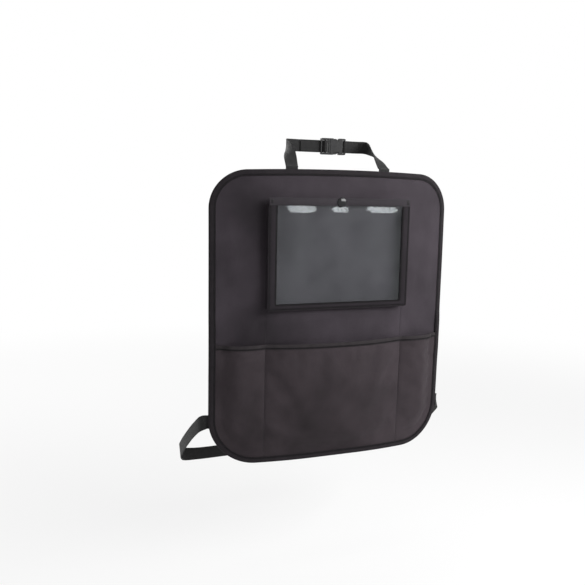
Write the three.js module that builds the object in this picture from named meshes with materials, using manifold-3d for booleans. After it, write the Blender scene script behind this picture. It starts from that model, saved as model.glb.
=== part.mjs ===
// Car seat protector with a tablet pocket and three lower pockets, in millimetres, +Z up.
// The pocket side faces -Y, and the origin is the centre of the flat zone on the panel's rear face.
import * as THREE from "three";
import { mergeVertices } from "three/addons/utils/BufferGeometryUtils.js";
import Module from "manifold-3d";

const wasm = await Module();
wasm.setup();

// Gaps
const FIT = 0.3;
const BUCKLE_FIT = 0.4;

// Panel
const PANEL_WIDTH = 460;
const PANEL_HEIGHT = 520;
const PANEL_THICKNESS = 2.4;
const TOP_CORNER_RADIUS = 66;
const BOTTOM_CORNER_RADIUS = 82;
const TOP_ARCH = 3;

// The seat back bends the panel round a flat middle zone.
const FLAT_HALF_WIDTH = 40;
const FLAT_HALF_HEIGHT = 60;
const SIDE_SET_BACK = 25.27;
const END_SET_BACK = 2.4;

// Folded tape
const BINDING_REACH = 10;
const BINDING_TAPE = 0.9;
const HEM_REACH = 8;
const HEM_TAPE = 0.8;

// Lower pockets
const POCKET_HEIGHT = 217;
const POCKET_CLOTH = 0.8;
const DIVIDER_X = 134;
const MIDDLE_POCKET_GAPE = 14;
const SIDE_POCKET_GAPE = 10;
const POCKET_STEP = 30;
const RIM_FLAT = 8;
const RIM_RISE = 12;

// Tablet pocket
const TABLET_HALF_WIDTH = 135;
const TABLET_DROP = 45.5;
const TABLET_HEIGHT = 195;
const TABLET_DEPTH = 8;
const FRAME_SIDE = 15;
const FRAME_BOTTOM = 11;
const FRAME_CLOTH = 0.8;
const FRAME_CORNER = 3;
const BAND_HEIGHT = 13;
const BAND_TAPE = 0.6;
const FILM = 0.4;
const FILM_OVERLAP = 6;
const GUSSET_CLOTH = 0.9;

// Snap fastener
const SNAP_X = 0;
const SNAP_POST_RADIUS = 2;
const SNAP_HOLE_RADIUS = 2.5;
const CAP_RADIUS = 8.5;
const CAP_HEIGHT = 3.2;
const CAP_RIM = 0.8;
const SOCKET_RADIUS = 7;
const SOCKET_HEIGHT = 3.2;
const SOCKET_FLOOR = 1;
const STUD_RADIUS = 6.5;
const STUD_FLANGE = 1;
const NUB_RADIUS = 3.2;
const NUB_HEIGHT = 2.2;
const WASHER_RADIUS = 7.5;
const WASHER_HEIGHT = 1.2;
const DIP_SPREAD_X = 30;
const DIP_SPREAD_Z = 14;

// Webbing
const WEBBING = 1.4;
const TOP_WEBBING_WIDTH = 22;
const LOWER_WEBBING_WIDTH = 25;
const TOP_STRAP_X = 89;
const LOWER_STRAP_RISE = 77;
const ROOT_LENGTH = 36;
const STITCHED_RETURN = 28;
const TAIL_LENGTH = 40;
const END_CLEAR = 6;

// Buckle
const BUCKLE_THICKNESS = 8;
const BUCKLE_RAIL = 3.2;
const SLOT_CLEARANCE = 0.6;
const BAR = 2.4;
const BAR_SLOT = 4.2;
const LADDER_SLOT = 5.6;
const SOCKET_LENGTH = 24;
const SOCKET_END_WALL = 2;
const SOCKET_ROOF = 1.7;
const WINDOW_START = 6;
const WINDOW_LENGTH = 11.5;
const STOP_FLANGE = 3;
const PRONG = 3.6;
const TONGUE_HALF = 2;
const PRONG_LENGTH = 18;
const BARB_SET_BACK = 0.7;
const BUCKLE_CORNER = 3;

// Places that the left straps pass; the right side mirrors them in X.
// The top ones are across, deep and above the panel's top edge.
const TOP_ROUTE = [
  [-88.4, 9, 9],
  [-86, 23, 23],
  [-82.6, 41, 37],
  [-80.6, 56, 44.5],
  [-78.2, 66, 47.5],
  [-71, 70, 48],
];
const TOP_TURNS = [
  [1, 0, 0.05],
  [0.92, -0.1, 0.35],
  [0.6, -0.2, 0.75],
  [0.2, -0.15, 0.97],
  [0, 0, 1],
  [0, 0, 1],
];
const TOP_BUCKLE = [8, 70, 48];
// The lower ones are out from the panel's side, deep and above the strap's root.
const LOWER_ROUTE = [
  [13, 38, -6],
  [19, 60, -23],
  [24, 92, -49],
  [26, 130, -78],
  [23, 164, -102],
  [10, 186, -117],
  [-20, 196, -123],
  [-70, 197, -123],
];
const LOWER_TURNS = [
  [0.05, 0.25, 0.96],
  [0.05, 0.45, 0.89],
  [0.02, 0.6, 0.8],
  [0, 0.6, 0.8],
  [0, 0.45, 0.89],
  [0, 0.2, 0.98],
  [0, 0, 1],
  [0, 0, 1],
];
const LOWER_BUCKLE = [0, 197, -123];

// Mesh steps
const ARC_STEPS = 12;
const DOME_STEPS = 6;
const PANEL_ROWS = 10;
const STRAIGHT_STEP = 22;
const POCKET_COLUMN = 11;
const STRAP_STEP = 7;
const LOOP_STEPS = 8;
const LATHE_SEGMENTS = 24;

const material = (color, roughness, metalness = 0) =>
  new THREE.MeshStandardMaterial({ color, roughness, metalness });
const panelCloth = material(0x3a3438, 0.75);
const pocketCloth = material(0x3c363a, 0.72);
const tape = material(0x232124, 0.7);
const webbing = material(0x222124, 0.8);
const buckleResin = material(0x17171a, 0.45);
const snapResin = material(0x0c0c0e, 0.2);
const clearFilm = new THREE.MeshStandardMaterial({
  color: 0xd8dcde,
  roughness: 0.1,
  transparent: true,
  opacity: 0.25,
});

const halfWidth = PANEL_WIDTH / 2;
const halfHeight = PANEL_HEIGHT / 2;
const acrossBend = SIDE_SET_BACK / (halfWidth - FLAT_HALF_WIDTH) ** 2;
const uprightBend = END_SET_BACK / (halfHeight - FLAT_HALF_HEIGHT) ** 2;
const pocketTopZ = POCKET_HEIGHT - halfHeight;
const tabletTopZ = halfHeight - TABLET_DROP;
const tabletBottomZ = tabletTopZ - TABLET_HEIGHT;
const lowerStrapZ = LOWER_STRAP_RISE - halfHeight;

const part = new THREE.Group();

function addNode(name, geometry, look, parent = part) {
  geometry.computeVertexNormals();
  const mesh = new THREE.Mesh(geometry, look);
  mesh.name = name;
  parent.add(mesh);
  return mesh;
}

function smooth(value, low, high) {
  const share = Math.min(1, Math.max(0, (value - low) / (high - low)));
  return share * share * (3 - 2 * share);
}

function between(from, to, count) {
  return Array.from({ length: count + 1 }, (_, i) => from + ((to - from) * i) / count);
}

function stepped(from, to, step) {
  return between(from, to, Math.max(1, Math.ceil(Math.abs(to - from) / step)));
}

// Depth of the panel's rear face behind its flat middle zone
function seatBend(x, z) {
  const across = Math.max(0, Math.abs(x) - FLAT_HALF_WIDTH);
  const upright = Math.max(0, Math.abs(z) - FLAT_HALF_HEIGHT);
  return acrossBend * across * across + uprightBend * upright * upright;
}

function slopeAcross(x) {
  return seatBend(x + FIT, 0) / FIT - seatBend(x, 0) / FIT;
}

function slopeUpright(z) {
  return seatBend(0, z + FIT) / FIT - seatBend(0, z) / FIT;
}

// A point lifted off the panel's rear face, towards the pocket side
function onPanel(x, z, lift) {
  return new THREE.Vector3(x, seatBend(x, z) - lift, z);
}

// Joins rings of points into one closed solid. The flat ring gives the end faces' triangles.
function loft(rings, flatRing, closed = false) {
  const size = rings[0].length;
  const points = rings.flat().flatMap((p) => [p.x, p.y, p.z]);
  const faces = [];
  const spans = closed ? rings.length : rings.length - 1;
  for (let i = 0; i < spans; i++) {
    const here = i * size;
    const next = ((i + 1) % rings.length) * size;
    for (let j = 0; j < size; j++) {
      const k = (j + 1) % size;
      faces.push(here + j, next + j, next + k, here + j, next + k, here + k);
    }
  }
  if (!closed) {
    const last = (rings.length - 1) * size;
    const clockwise = THREE.ShapeUtils.isClockWise(flatRing);
    for (const [a, b, c] of THREE.ShapeUtils.triangulateShape(flatRing, [])) {
      const [p, q] = clockwise ? [c, b] : [b, c];
      faces.push(a, p, q, last + a, last + q, last + p);
    }
  }
  return turnedOutward(points, faces);
}

function turnedOutward(points, faces) {
  const corner = (i) => new THREE.Vector3().fromArray(points, 3 * i);
  let volume = 0;
  for (let i = 0; i < faces.length; i += 3) {
    volume += corner(faces[i]).dot(corner(faces[i + 1]).cross(corner(faces[i + 2])));
  }
  if (volume < 0) {
    faces.reverse();
  }
  const geometry = new THREE.BufferGeometry();
  geometry.setAttribute("position", new THREE.Float32BufferAttribute(points, 3));
  geometry.setIndex(faces);
  return geometry;
}

// A cloth sheet cut along columns: each column runs from its low to its high end.
// The margin is a first row of its own, such as the strip under a binding.
function sheet(columns, rows, place, margin = 0) {
  const shares = between(0, 1, margin ? rows + 1 : rows);
  const rings = columns.map(({ x, low, high }) => {
    const heights = margin
      ? [low, ...between(low + margin, high, rows)]
      : between(low, high, rows);
    const rear = heights.map((z) => place(x, z, 0));
    const front = heights.map((z) => place(x, z, 1)).reverse();
    return [...rear, ...front];
  });
  const flatRear = shares.map((share) => new THREE.Vector2(share, 0));
  const flatFront = shares.map((share) => new THREE.Vector2(share, 1)).reverse();
  return loft(rings, [...flatRear, ...flatFront]);
}

function solidOf(geometry) {
  const bare = geometry.clone();
  bare.deleteAttribute("normal");
  bare.deleteAttribute("uv");
  const merged = mergeVertices(bare);
  return new wasm.Manifold(
    new wasm.Mesh({
      numProp: 3,
      vertProperties: merged.attributes.position.array,
      triVerts: new Uint32Array(merged.index.array),
    }),
  );
}

function geometryOf(solid) {
  const mesh = solid.getMesh();
  const geometry = new THREE.BufferGeometry();
  geometry.setAttribute("position", new THREE.BufferAttribute(mesh.vertProperties, mesh.numProp));
  geometry.setIndex(new THREE.BufferAttribute(mesh.triVerts, 1));
  return geometry;
}

// Outline of the panel, shrunk by inset
function edgeZ(x, radius, inset) {
  const straight = halfWidth - radius;
  const out = Math.abs(x) - straight;
  const side = radius - inset;
  const drop = out <= 0 ? side : Math.sqrt(Math.max(0, side * side - out * out));
  return halfHeight - radius + drop;
}

function topZ(x, inset) {
  const straight = halfWidth - TOP_CORNER_RADIUS;
  const share = Math.min(1, Math.abs(x) / straight);
  return edgeZ(x, TOP_CORNER_RADIUS, inset) + TOP_ARCH * (1 - share * share);
}

function bottomZ(x, inset) {
  return -edgeZ(x, BOTTOM_CORNER_RADIUS, inset);
}

function columnPlaces(inset) {
  const straight = halfWidth - BOTTOM_CORNER_RADIUS;
  const reach = BOTTOM_CORNER_RADIUS - inset;
  const arc = between(0, Math.PI / 2, ARC_STEPS).map((angle) => straight + reach * Math.sin(angle));
  const bent = stepped(FLAT_HALF_WIDTH, straight, STRAIGHT_STEP).slice(0, -1);
  const flat = stepped(0, FLAT_HALF_WIDTH, STRAIGHT_STEP).slice(1, -1);
  const right = [...flat, ...bent, ...arc];
  return [...right.map((x) => -x).reverse(), 0, ...right];
}

// Stack of lifts off the rear face
const panelFront = PANEL_THICKNESS;
const pocketRear = panelFront + FIT;
const pocketFront = pocketRear + POCKET_CLOTH;

function makePanel() {
  const columns = columnPlaces(0).map((x) => ({ x, low: bottomZ(x, 0), high: topZ(x, 0) }));
  const geometry = sheet(columns, PANEL_ROWS, (x, z, side) => onPanel(x, z, side * panelFront));
  const cloth = solidOf(geometry).subtract(solidOf(snapHoleTool()));
  addNode("back_panel", geometryOf(cloth), panelCloth);
}

// Closed line of outline points with their inward directions
function outlineStations() {
  const corners = [
    [1, 1, TOP_CORNER_RADIUS],
    [-1, 1, TOP_CORNER_RADIUS],
    [-1, -1, BOTTOM_CORNER_RADIUS],
    [1, -1, BOTTOM_CORNER_RADIUS],
  ].map(([right, up, r], start) => {
    return { x: right * (halfWidth - r), z: up * (halfHeight - r), r, start };
  });
  const stations = [];
  corners.forEach((corner, index) => {
    const firstAngle = (corner.start * Math.PI) / 2;
    for (const angle of between(firstAngle, firstAngle + Math.PI / 2, ARC_STEPS)) {
      const out = new THREE.Vector2(Math.cos(angle), Math.sin(angle));
      stations.push({ x: corner.x + corner.r * out.x, z: corner.z + corner.r * out.y, out });
    }
    const here = stations.at(-1);
    const next = corners[(index + 1) % corners.length];
    const angle = (next.start * Math.PI) / 2;
    const end = { x: next.x + next.r * Math.cos(angle), z: next.z + next.r * Math.sin(angle) };
    const length = Math.hypot(end.x - here.x, end.z - here.z);
    for (const share of stepped(0, length, STRAIGHT_STEP).slice(1, -1).map((s) => s / length)) {
      const x = here.x + (end.x - here.x) * share;
      const z = here.z + (end.z - here.z) * share;
      stations.push({ x, z: index === 0 ? topZ(x, 0) : z, out: here.out });
    }
  });
  return stations;
}

function makeBinding() {
  const rings = outlineStations().map(({ x, z, out }) => {
    const stepEnd = pocketTopZ + STRAIGHT_STEP;
    const pocketShare = smooth(-z, -stepEnd - POCKET_STEP, -stepEnd);
    const held = panelFront + (pocketFront - panelFront) * pocketShare + hemLift(z, STRAIGHT_STEP);
    const at = (inward, lift) => onPanel(x - out.x * inward, z - out.y * inward, lift);
    return [
      at(BINDING_REACH, -FIT - BINDING_TAPE),
      at(0, -FIT - BINDING_TAPE),
      at(-FIT - BINDING_TAPE, -FIT),
      at(-FIT - BINDING_TAPE, held + FIT),
      at(0, held + FIT + BINDING_TAPE),
      at(BINDING_REACH, held + FIT + BINDING_TAPE),
      at(BINDING_REACH, held + FIT),
      at(-FIT, held + FIT),
      at(-FIT, -FIT),
      at(BINDING_REACH, -FIT),
    ];
  });
  addNode("edge_binding", loft(rings, [], true), tape);
}

// Distance from a point of the panel to its lower outline
function insideDistance(x, z) {
  const alongX = Math.abs(x) - (halfWidth - BOTTOM_CORNER_RADIUS);
  const alongZ = -z - (halfHeight - BOTTOM_CORNER_RADIUS);
  const corner = Math.hypot(Math.max(0, alongX), Math.max(0, alongZ));
  const flat = Math.min(0, Math.max(alongX, alongZ));
  return BOTTOM_CORNER_RADIUS - corner - flat;
}

// The hem's rear leg lifts the pocket cloth off the panel.
function hemLift(z, margin) {
  const away = Math.abs(z - pocketTopZ + HEM_REACH / 2) - HEM_REACH / 2;
  return (HEM_TAPE + FIT) * (1 - smooth(away, margin, margin + POCKET_STEP));
}

// How far the pocket cloth stands off the panel between its seams
function pocketGape(x, z) {
  const pocketEnd = halfWidth - BINDING_REACH;
  const sideMiddle = (DIVIDER_X + pocketEnd) / 2;
  const sideHalf = (pocketEnd - DIVIDER_X) / 2;
  const inMiddle = Math.abs(x) < DIVIDER_X;
  const share = inMiddle ? x / DIVIDER_X : (Math.abs(x) - sideMiddle) / sideHalf;
  const across = Math.max(0, 1 - share * share);
  const floorZ = -halfHeight + BINDING_REACH;
  const depth = Math.min(1, Math.max(0, (pocketTopZ - z) / (pocketTopZ - floorZ)));
  const upright = 1 - depth * depth;
  const rimStart = BINDING_REACH + RIM_FLAT;
  const rim = smooth(insideDistance(x, z), rimStart, rimStart + RIM_RISE);
  const gape = inMiddle ? MIDDLE_POCKET_GAPE : SIDE_POCKET_GAPE;
  return gape * across * upright * rim + hemLift(z, POCKET_STEP / 2);
}

function pocketPlaces(end) {
  const bound = halfWidth - BINDING_REACH;
  const open = stepped(DIVIDER_X, Math.min(end, bound), POCKET_COLUMN);
  const held = end > bound ? stepped(bound, end, POCKET_COLUMN / 2).slice(1) : [];
  const sideSpan = [...open, ...held];
  const middle = stepped(-DIVIDER_X, DIVIDER_X, POCKET_COLUMN);
  return [...sideSpan.map((x) => -x).reverse(), ...middle.slice(1, -1), ...sideSpan];
}

function makeLowerPocket() {
  const clothTop = pocketTopZ - FIT;
  const columns = pocketPlaces(halfWidth).map((x) => ({ x, low: bottomZ(x, 0), high: clothTop }));
  const place = (x, z, side) => onPanel(x, z, pocketRear + side * POCKET_CLOTH + pocketGape(x, z));
  const boundStrip = BINDING_REACH + RIM_FLAT;
  addNode("lower_pocket", sheet(columns, PANEL_ROWS, place, boundStrip), pocketCloth);

  const rings = pocketPlaces(halfWidth - BINDING_REACH - FIT).map((x) => {
    const at = (drop, lift) => {
      const z = pocketTopZ - drop;
      return onPanel(x, z, lift + pocketGape(x, z));
    };
    const back = pocketRear - FIT;
    const front = pocketFront + FIT;
    return [
      at(HEM_REACH, back),
      at(HEM_REACH, back - HEM_TAPE),
      at(-HEM_TAPE, back - HEM_TAPE),
      at(-HEM_TAPE, front + HEM_TAPE),
      at(HEM_REACH, front + HEM_TAPE),
      at(HEM_REACH, front),
      at(0, front),
      at(0, back),
    ];
  });
  const flat = [
    [0, 1], [0, 0], [4, 0], [4, 4], [0, 4], [0, 3], [3, 3], [3, 1],
  ].map(([x, y]) => new THREE.Vector2(x, y));
  addNode("lower_pocket_hem", loft(rings, flat), tape);
}

// Tablet pocket: its front is flat, its gusset takes up the bend of the panel.
const filmRear = panelFront + TABLET_DEPTH;
const frameRear = filmRear + FILM + FIT;
const frameFront = frameRear + FRAME_CLOTH;
const bandRear = filmRear - FIT - BAND_TAPE;
const snapZ = tabletTopZ - BAND_HEIGHT / 2;
const studRear = panelFront + FIT;
const socketRear = studRear + STUD_FLANGE + FIT;
const snapStack = socketRear + SOCKET_HEIGHT + FIT;
const snapBend = seatBend(SNAP_X, snapZ);

// The snap draws the band and the film's upper edge towards the panel.
function snapDip(x, z) {
  const depth = bandRear - (snapStack - snapBend);
  const across = (x - SNAP_X) / DIP_SPREAD_X;
  const down = Math.max(0, snapZ - BAND_HEIGHT / 2 - z) / DIP_SPREAD_Z;
  return depth * Math.exp(-across * across - down * down);
}

function makeTabletPocket() {
  const frameTop = tabletTopZ - BAND_TAPE - FIT;
  const innerHalf = TABLET_HALF_WIDTH - FRAME_SIDE;
  const windowBottom = tabletBottomZ + FRAME_BOTTOM;
  const outline = new THREE.Shape();
  outline.moveTo(-TABLET_HALF_WIDTH, frameTop);
  outline.lineTo(-TABLET_HALF_WIDTH, tabletBottomZ + FRAME_CORNER);
  outline.quadraticCurveTo(
    -TABLET_HALF_WIDTH, tabletBottomZ, -TABLET_HALF_WIDTH + FRAME_CORNER, tabletBottomZ);
  outline.lineTo(TABLET_HALF_WIDTH - FRAME_CORNER, tabletBottomZ);
  outline.quadraticCurveTo(
    TABLET_HALF_WIDTH, tabletBottomZ, TABLET_HALF_WIDTH, tabletBottomZ + FRAME_CORNER);
  outline.lineTo(TABLET_HALF_WIDTH, frameTop);
  outline.lineTo(innerHalf, frameTop);
  outline.lineTo(innerHalf, windowBottom);
  outline.lineTo(-innerHalf, windowBottom);
  outline.lineTo(-innerHalf, frameTop);
  outline.closePath();
  const frame = plate(outline, FRAME_CLOTH, 2);
  frame.translate(0, -frameRear, 0);
  addNode("tablet_pocket_frame", frame, pocketCloth);

  const filmHalf = innerHalf + FILM_OVERLAP;
  const filmColumns = stepped(-filmHalf, filmHalf, POCKET_COLUMN).map((x) => ({
    x, low: windowBottom - FILM_OVERLAP, high: frameTop,
  }));
  const filmPlace = (x, z, side) => new THREE.Vector3(x, snapDip(x, z) - filmRear - side * FILM, z);
  const film = solidOf(sheet(filmColumns, PANEL_ROWS, filmPlace)).subtract(solidOf(snapHoleTool()));
  addNode("tablet_window", geometryOf(film), clearFilm);

  const bandFront = frameFront + FIT;
  const bandRings = stepped(-TABLET_HALF_WIDTH, TABLET_HALF_WIDTH, POCKET_COLUMN / 2).map((x) => {
    const at = (z, lift) => new THREE.Vector3(x, snapDip(x, z) - lift, z);
    const low = tabletTopZ - BAND_HEIGHT;
    const fold = tabletTopZ - BAND_TAPE;
    return [
      at(low, bandRear), at(tabletTopZ, bandRear), at(tabletTopZ, bandFront + BAND_TAPE),
      at(low, bandFront + BAND_TAPE), at(low, bandFront), at(fold, bandFront),
      at(fold, bandRear + BAND_TAPE), at(low, bandRear + BAND_TAPE),
    ];
  });
  const flat = [
    [0, 0], [4, 0], [4, 4], [0, 4], [0, 3], [3, 3], [3, 1], [0, 1],
  ].map(([x, y]) => new THREE.Vector2(x, y));
  const band = solidOf(loft(bandRings, flat)).subtract(solidOf(snapHoleTool()));
  addNode("tablet_pocket_band", geometryOf(band), tape);

  const gussetTop = tabletTopZ - BAND_HEIGHT - FIT;
  const walls = [
    ...stepped(gussetTop, tabletBottomZ, STRAIGHT_STEP).map((z) => [-1, z]),
    ...stepped(-TABLET_HALF_WIDTH, TABLET_HALF_WIDTH, STRAIGHT_STEP)
      .slice(1, -1)
      .map((x) => [x / TABLET_HALF_WIDTH, tabletBottomZ]),
    ...stepped(tabletBottomZ, gussetTop, STRAIGHT_STEP).map((z) => [1, z]),
  ];
  const gussetRings = walls.map(([share, z]) => {
    const outerX = share * TABLET_HALF_WIDTH;
    const innerX = share * (TABLET_HALF_WIDTH - GUSSET_CLOTH);
    const innerZ = Math.max(z, tabletBottomZ + GUSSET_CLOTH);
    const front = frameRear - FIT;
    return [
      onPanel(outerX, z, pocketRear),
      onPanel(innerX, innerZ, pocketRear),
      new THREE.Vector3(innerX, -front, innerZ),
      new THREE.Vector3(outerX, -front, z),
    ];
  });
  const square = [[0, 0], [1, 0], [1, 1], [0, 1]].map(([x, y]) => new THREE.Vector2(x, y));
  addNode("tablet_pocket_gusset", loft(gussetRings, square), pocketCloth);
}

// A flat plate cut in the X-Z plane, from y = 0 towards -Y
function plate(shape, thickness, curveSegments = 4) {
  const geometry = new THREE.ExtrudeGeometry(shape, {
    depth: thickness,
    bevelEnabled: false,
    curveSegments,
  });
  geometry.rotateX(Math.PI / 2);
  return geometry;
}

function snapHoleTool() {
  const length = 4 * (TABLET_DEPTH + PANEL_THICKNESS);
  const tool = new THREE.CylinderGeometry(SNAP_HOLE_RADIUS, SNAP_HOLE_RADIUS, length, LATHE_SEGMENTS);
  tool.translate(SNAP_X, 0, snapZ);
  return tool;
}

// A turned piece: pairs of radius and lift from its own seat, closed on the axis
function turned(pairs) {
  const profile = pairs.map(([radius, lift]) => new THREE.Vector2(radius, lift));
  const geometry = new THREE.LatheGeometry(profile, LATHE_SEGMENTS);
  const merged = mergeVertices(bareOf(geometry));
  const lathe = turnedOutward([...merged.attributes.position.array], [...merged.index.array]);
  lathe.rotateX(Math.PI);
  return lathe;
}

function bareOf(geometry) {
  geometry.deleteAttribute("normal");
  geometry.deleteAttribute("uv");
  return geometry;
}

function makeSnap() {
  const snap = new THREE.Group();
  snap.position.set(SNAP_X, snapBend, snapZ);
  part.add(snap);
  const place = (mesh, lift) => mesh.position.set(0, -lift, 0);

  const postTip = -studRear;
  const washer = turned([
    [0, -WASHER_HEIGHT], [WASHER_RADIUS - FIT, -WASHER_HEIGHT], [WASHER_RADIUS, -WASHER_HEIGHT / 2],
    [WASHER_RADIUS, 0], [SNAP_POST_RADIUS, 0], [SNAP_POST_RADIUS, FIT - postTip], [0, FIT - postTip],
  ]);
  place(addNode("snap_washer", washer, snapResin, snap), -FIT);

  const bore = STUD_FLANGE;
  const stud = turned([
    [0, bore], [SNAP_HOLE_RADIUS, bore], [SNAP_HOLE_RADIUS, 0], [STUD_RADIUS, 0],
    [STUD_RADIUS, STUD_FLANGE], [NUB_RADIUS - FIT, STUD_FLANGE], [NUB_RADIUS, STUD_FLANGE + NUB_HEIGHT / 2],
    [NUB_RADIUS - FIT, STUD_FLANGE + NUB_HEIGHT], [0, STUD_FLANGE + NUB_HEIGHT],
  ]);
  place(addNode("snap_stud", stud, snapResin, snap), studRear);

  const mouth = NUB_RADIUS + FIT;
  const cavity = SOCKET_HEIGHT - SOCKET_FLOOR + FIT;
  const socket = turned([
    [0, cavity], [mouth, cavity], [mouth, 0], [SOCKET_RADIUS, 0], [SOCKET_RADIUS, SOCKET_HEIGHT - FIT],
    [SOCKET_RADIUS - FIT, SOCKET_HEIGHT], [0, SOCKET_HEIGHT],
  ]);
  place(addNode("snap_socket", socket, snapResin, snap), socketRear);

  const capSeat = snapStack + (frameFront + FIT + BAND_TAPE - bandRear) + FIT;
  const post = FIT + capSeat - snapStack;
  const dome = between(0, Math.PI / 2, DOME_STEPS).map((angle) => [
    CAP_RADIUS * Math.cos(angle), CAP_RIM + (CAP_HEIGHT - CAP_RIM) * Math.sin(angle),
  ]);
  dome[dome.length - 1][0] = 0;
  const cap = turned([
    [0, FIT - post], [SNAP_POST_RADIUS, FIT - post], [SNAP_POST_RADIUS, 0],
    [CAP_RADIUS - CAP_RIM, 0], ...dome,
  ]);
  place(addNode("snap_cap", cap, snapResin, snap), capSeat);
}

// Strap centre line: points with the direction of the webbing's width
function strap(name, points, turns, width) {
  const rings = points.map((point, i) => {
    const before = points[Math.max(0, i - 1)];
    const after = points[Math.min(points.length - 1, i + 1)];
    const along = after.clone().sub(before).normalize();
    const across = turns[i].clone().addScaledVector(along, -along.dot(turns[i])).normalize();
    const face = along.clone().cross(across);
    const at = (a, b) => point.clone()
      .addScaledVector(across, (a * width) / 2)
      .addScaledVector(face, (b * WEBBING) / 2);
    return [at(-1, -1), at(1, -1), at(1, 1), at(-1, 1)];
  });
  const square = [[0, 0], [1, 0], [1, 1], [0, 1]].map(([x, y]) => new THREE.Vector2(x, y));
  addNode(name, loft(rings, square), webbing);
}

const [topBuckle] = shifted([TOP_BUCKLE], 0, halfHeight);
const [lowerBuckle] = shifted([LOWER_BUCKLE], 0, lowerStrapZ);
const rungOuter = BAR * Math.SQRT1_2 + FIT + WEBBING / 2;
const mainLift = rungOuter + WEBBING + FIT + SLOT_CLEARANCE / 3;

// Places of the bars along the buckle, measured outward from its mouth
const socketBar = SOCKET_LENGTH + BAR_SLOT + BAR / 2;
const ladderInner = STOP_FLANGE + BUCKLE_FIT + BAR_SLOT + BAR / 2;
const ladderOuter = ladderInner + BAR + LADDER_SLOT;

function halfTurn(centreOut, highY, lowY) {
  const middle = (highY + lowY) / 2;
  const radius = (highY - lowY) / 2;
  return between(Math.PI / 2, -Math.PI / 2, LOOP_STEPS).map((angle) => [
    centreOut - radius * Math.cos(angle), middle + radius * Math.sin(angle),
  ]);
}

// Webbing round the socket's bar and stitched back on itself, as pairs of outward place and depth
function fixedEnd() {
  const layer = rungOuter - WEBBING - FIT;
  return [
    ...stepped(socketBar + STITCHED_RETURN, socketBar + BAR, STRAP_STEP).map((out) => [out, rungOuter]),
    ...halfTurn(socketBar, rungOuter, -rungOuter),
    [socketBar + BAR, -rungOuter],
    [socketBar + STITCHED_RETURN / 2, layer],
    [socketBar + STITCHED_RETURN, layer],
  ];
}

// Webbing threaded through the ladder, with a free tail
function threadedEnd() {
  const tailEnd = ladderOuter + TAIL_LENGTH;
  return [
    ...stepped(tailEnd, ladderInner + BAR, STRAP_STEP).map((out) => [out, mainLift]),
    ...halfTurn(ladderInner, mainLift, -rungOuter - FIT / 3),
    [ladderInner + BAR / 2 + FIT, -rungOuter - FIT / 3],
    [ladderInner + BAR / 2 + LADDER_SLOT / 2, 0],
    [ladderOuter - BAR / 2 - FIT, rungOuter],
    ...stepped(ladderOuter + BAR, tailEnd, STRAP_STEP).map((out) => [out, rungOuter]),
  ];
}

function makeStrap(name, side, root, rootTurn, route, routeTurns, buckle, threaded, width) {
  const mirror = ([x, y, z]) => new THREE.Vector3(-side * x, y, z);
  const end = threaded ? threadedEnd() : fixedEnd();
  const endPoints = end.map(([out, depth]) =>
    new THREE.Vector3(buckle[0] + side * out, buckle[1] + depth, buckle[2]));
  const flatTurn = new THREE.Vector3(0, 0, 1);
  const keys = [root.at(-1), ...route.map(mirror), endPoints[0]];
  const keyTurns = [mirror(rootTurn), ...routeTurns.map(mirror), flatTurn];
  const curve = new THREE.CatmullRomCurve3(keys, false, "centripetal");
  const turnCurve = new THREE.CatmullRomCurve3(keyTurns, false, "centripetal");
  const shares = between(0, 1, Math.ceil(curve.getLength() / STRAP_STEP)).slice(1, -1);
  const points = [...root, ...shares.map((share) => curve.getPoint(share)), ...endPoints];
  const turns = [
    ...root.map(() => mirror(rootTurn)),
    ...shares.map((share) => turnCurve.getPoint(share)),
    ...endPoints.map(() => flatTurn),
  ];
  strap(name, points, turns, width);
}

// Roots lie on the panel's rear face and pass over the binding's rear leg.
function rootLine(at) {
  const overPanel = -FIT - WEBBING / 2;
  const overBinding = overPanel - FIT - BINDING_TAPE;
  return stepped(ROOT_LENGTH, -END_CLEAR, STRAP_STEP / 2).map((inward) => {
    const climbed = smooth(-inward, -BINDING_REACH - 2 * END_CLEAR, -BINDING_REACH - END_CLEAR / 2);
    return at(inward, overPanel + (overBinding - overPanel) * climbed);
  });
}

function shifted(places, x, z) {
  return places.map((place) => [place[0] + x, place[1], place[2] + z]);
}

function makeTopStraps() {
  const turn = [1, -slopeAcross(TOP_STRAP_X), 0];
  const route = shifted(TOP_ROUTE, 0, halfHeight);
  for (const [side, name, threaded] of [[-1, "top_strap_left", true], [1, "top_strap_right", false]]) {
    const x = side * TOP_STRAP_X;
    const root = rootLine((inward, lift) => onPanel(x, topZ(x, inward), lift));
    makeStrap(name, side, root, turn, route, TOP_TURNS, topBuckle, threaded, TOP_WEBBING_WIDTH);
  }
}

function makeLowerStraps() {
  const turn = [0, slopeUpright(lowerStrapZ), 1];
  const width = LOWER_WEBBING_WIDTH;
  const route = LOWER_ROUTE.map(([out, deep, up]) => [-halfWidth - out, deep, lowerStrapZ + up]);
  for (const [side, name, threaded] of [[-1, "lower_strap_left", true], [1, "lower_strap_right", false]]) {
    const root = rootLine((inward, lift) => onPanel(side * (halfWidth - inward), lowerStrapZ, lift));
    makeStrap(name, side, root, turn, route, LOWER_TURNS, lowerBuckle, threaded, width);
  }
}

function rectangle(shape, x0, x1, z0, z1) {
  shape.moveTo(x0, z0);
  shape.lineTo(x1, z0);
  shape.lineTo(x1, z1);
  shape.lineTo(x0, z1);
  shape.closePath();
  return shape;
}

function block(x0, x1, y0, y1, z0, z1) {
  const geometry = new THREE.BoxGeometry(x1 - x0, y1 - y0, z1 - z0);
  geometry.translate((x0 + x1) / 2, (y0 + y1) / 2, (z0 + z1) / 2);
  return geometry;
}

function centredPlate(shape, thickness) {
  const geometry = plate(shape, thickness);
  geometry.translate(0, thickness / 2, 0);
  return geometry;
}

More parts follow.
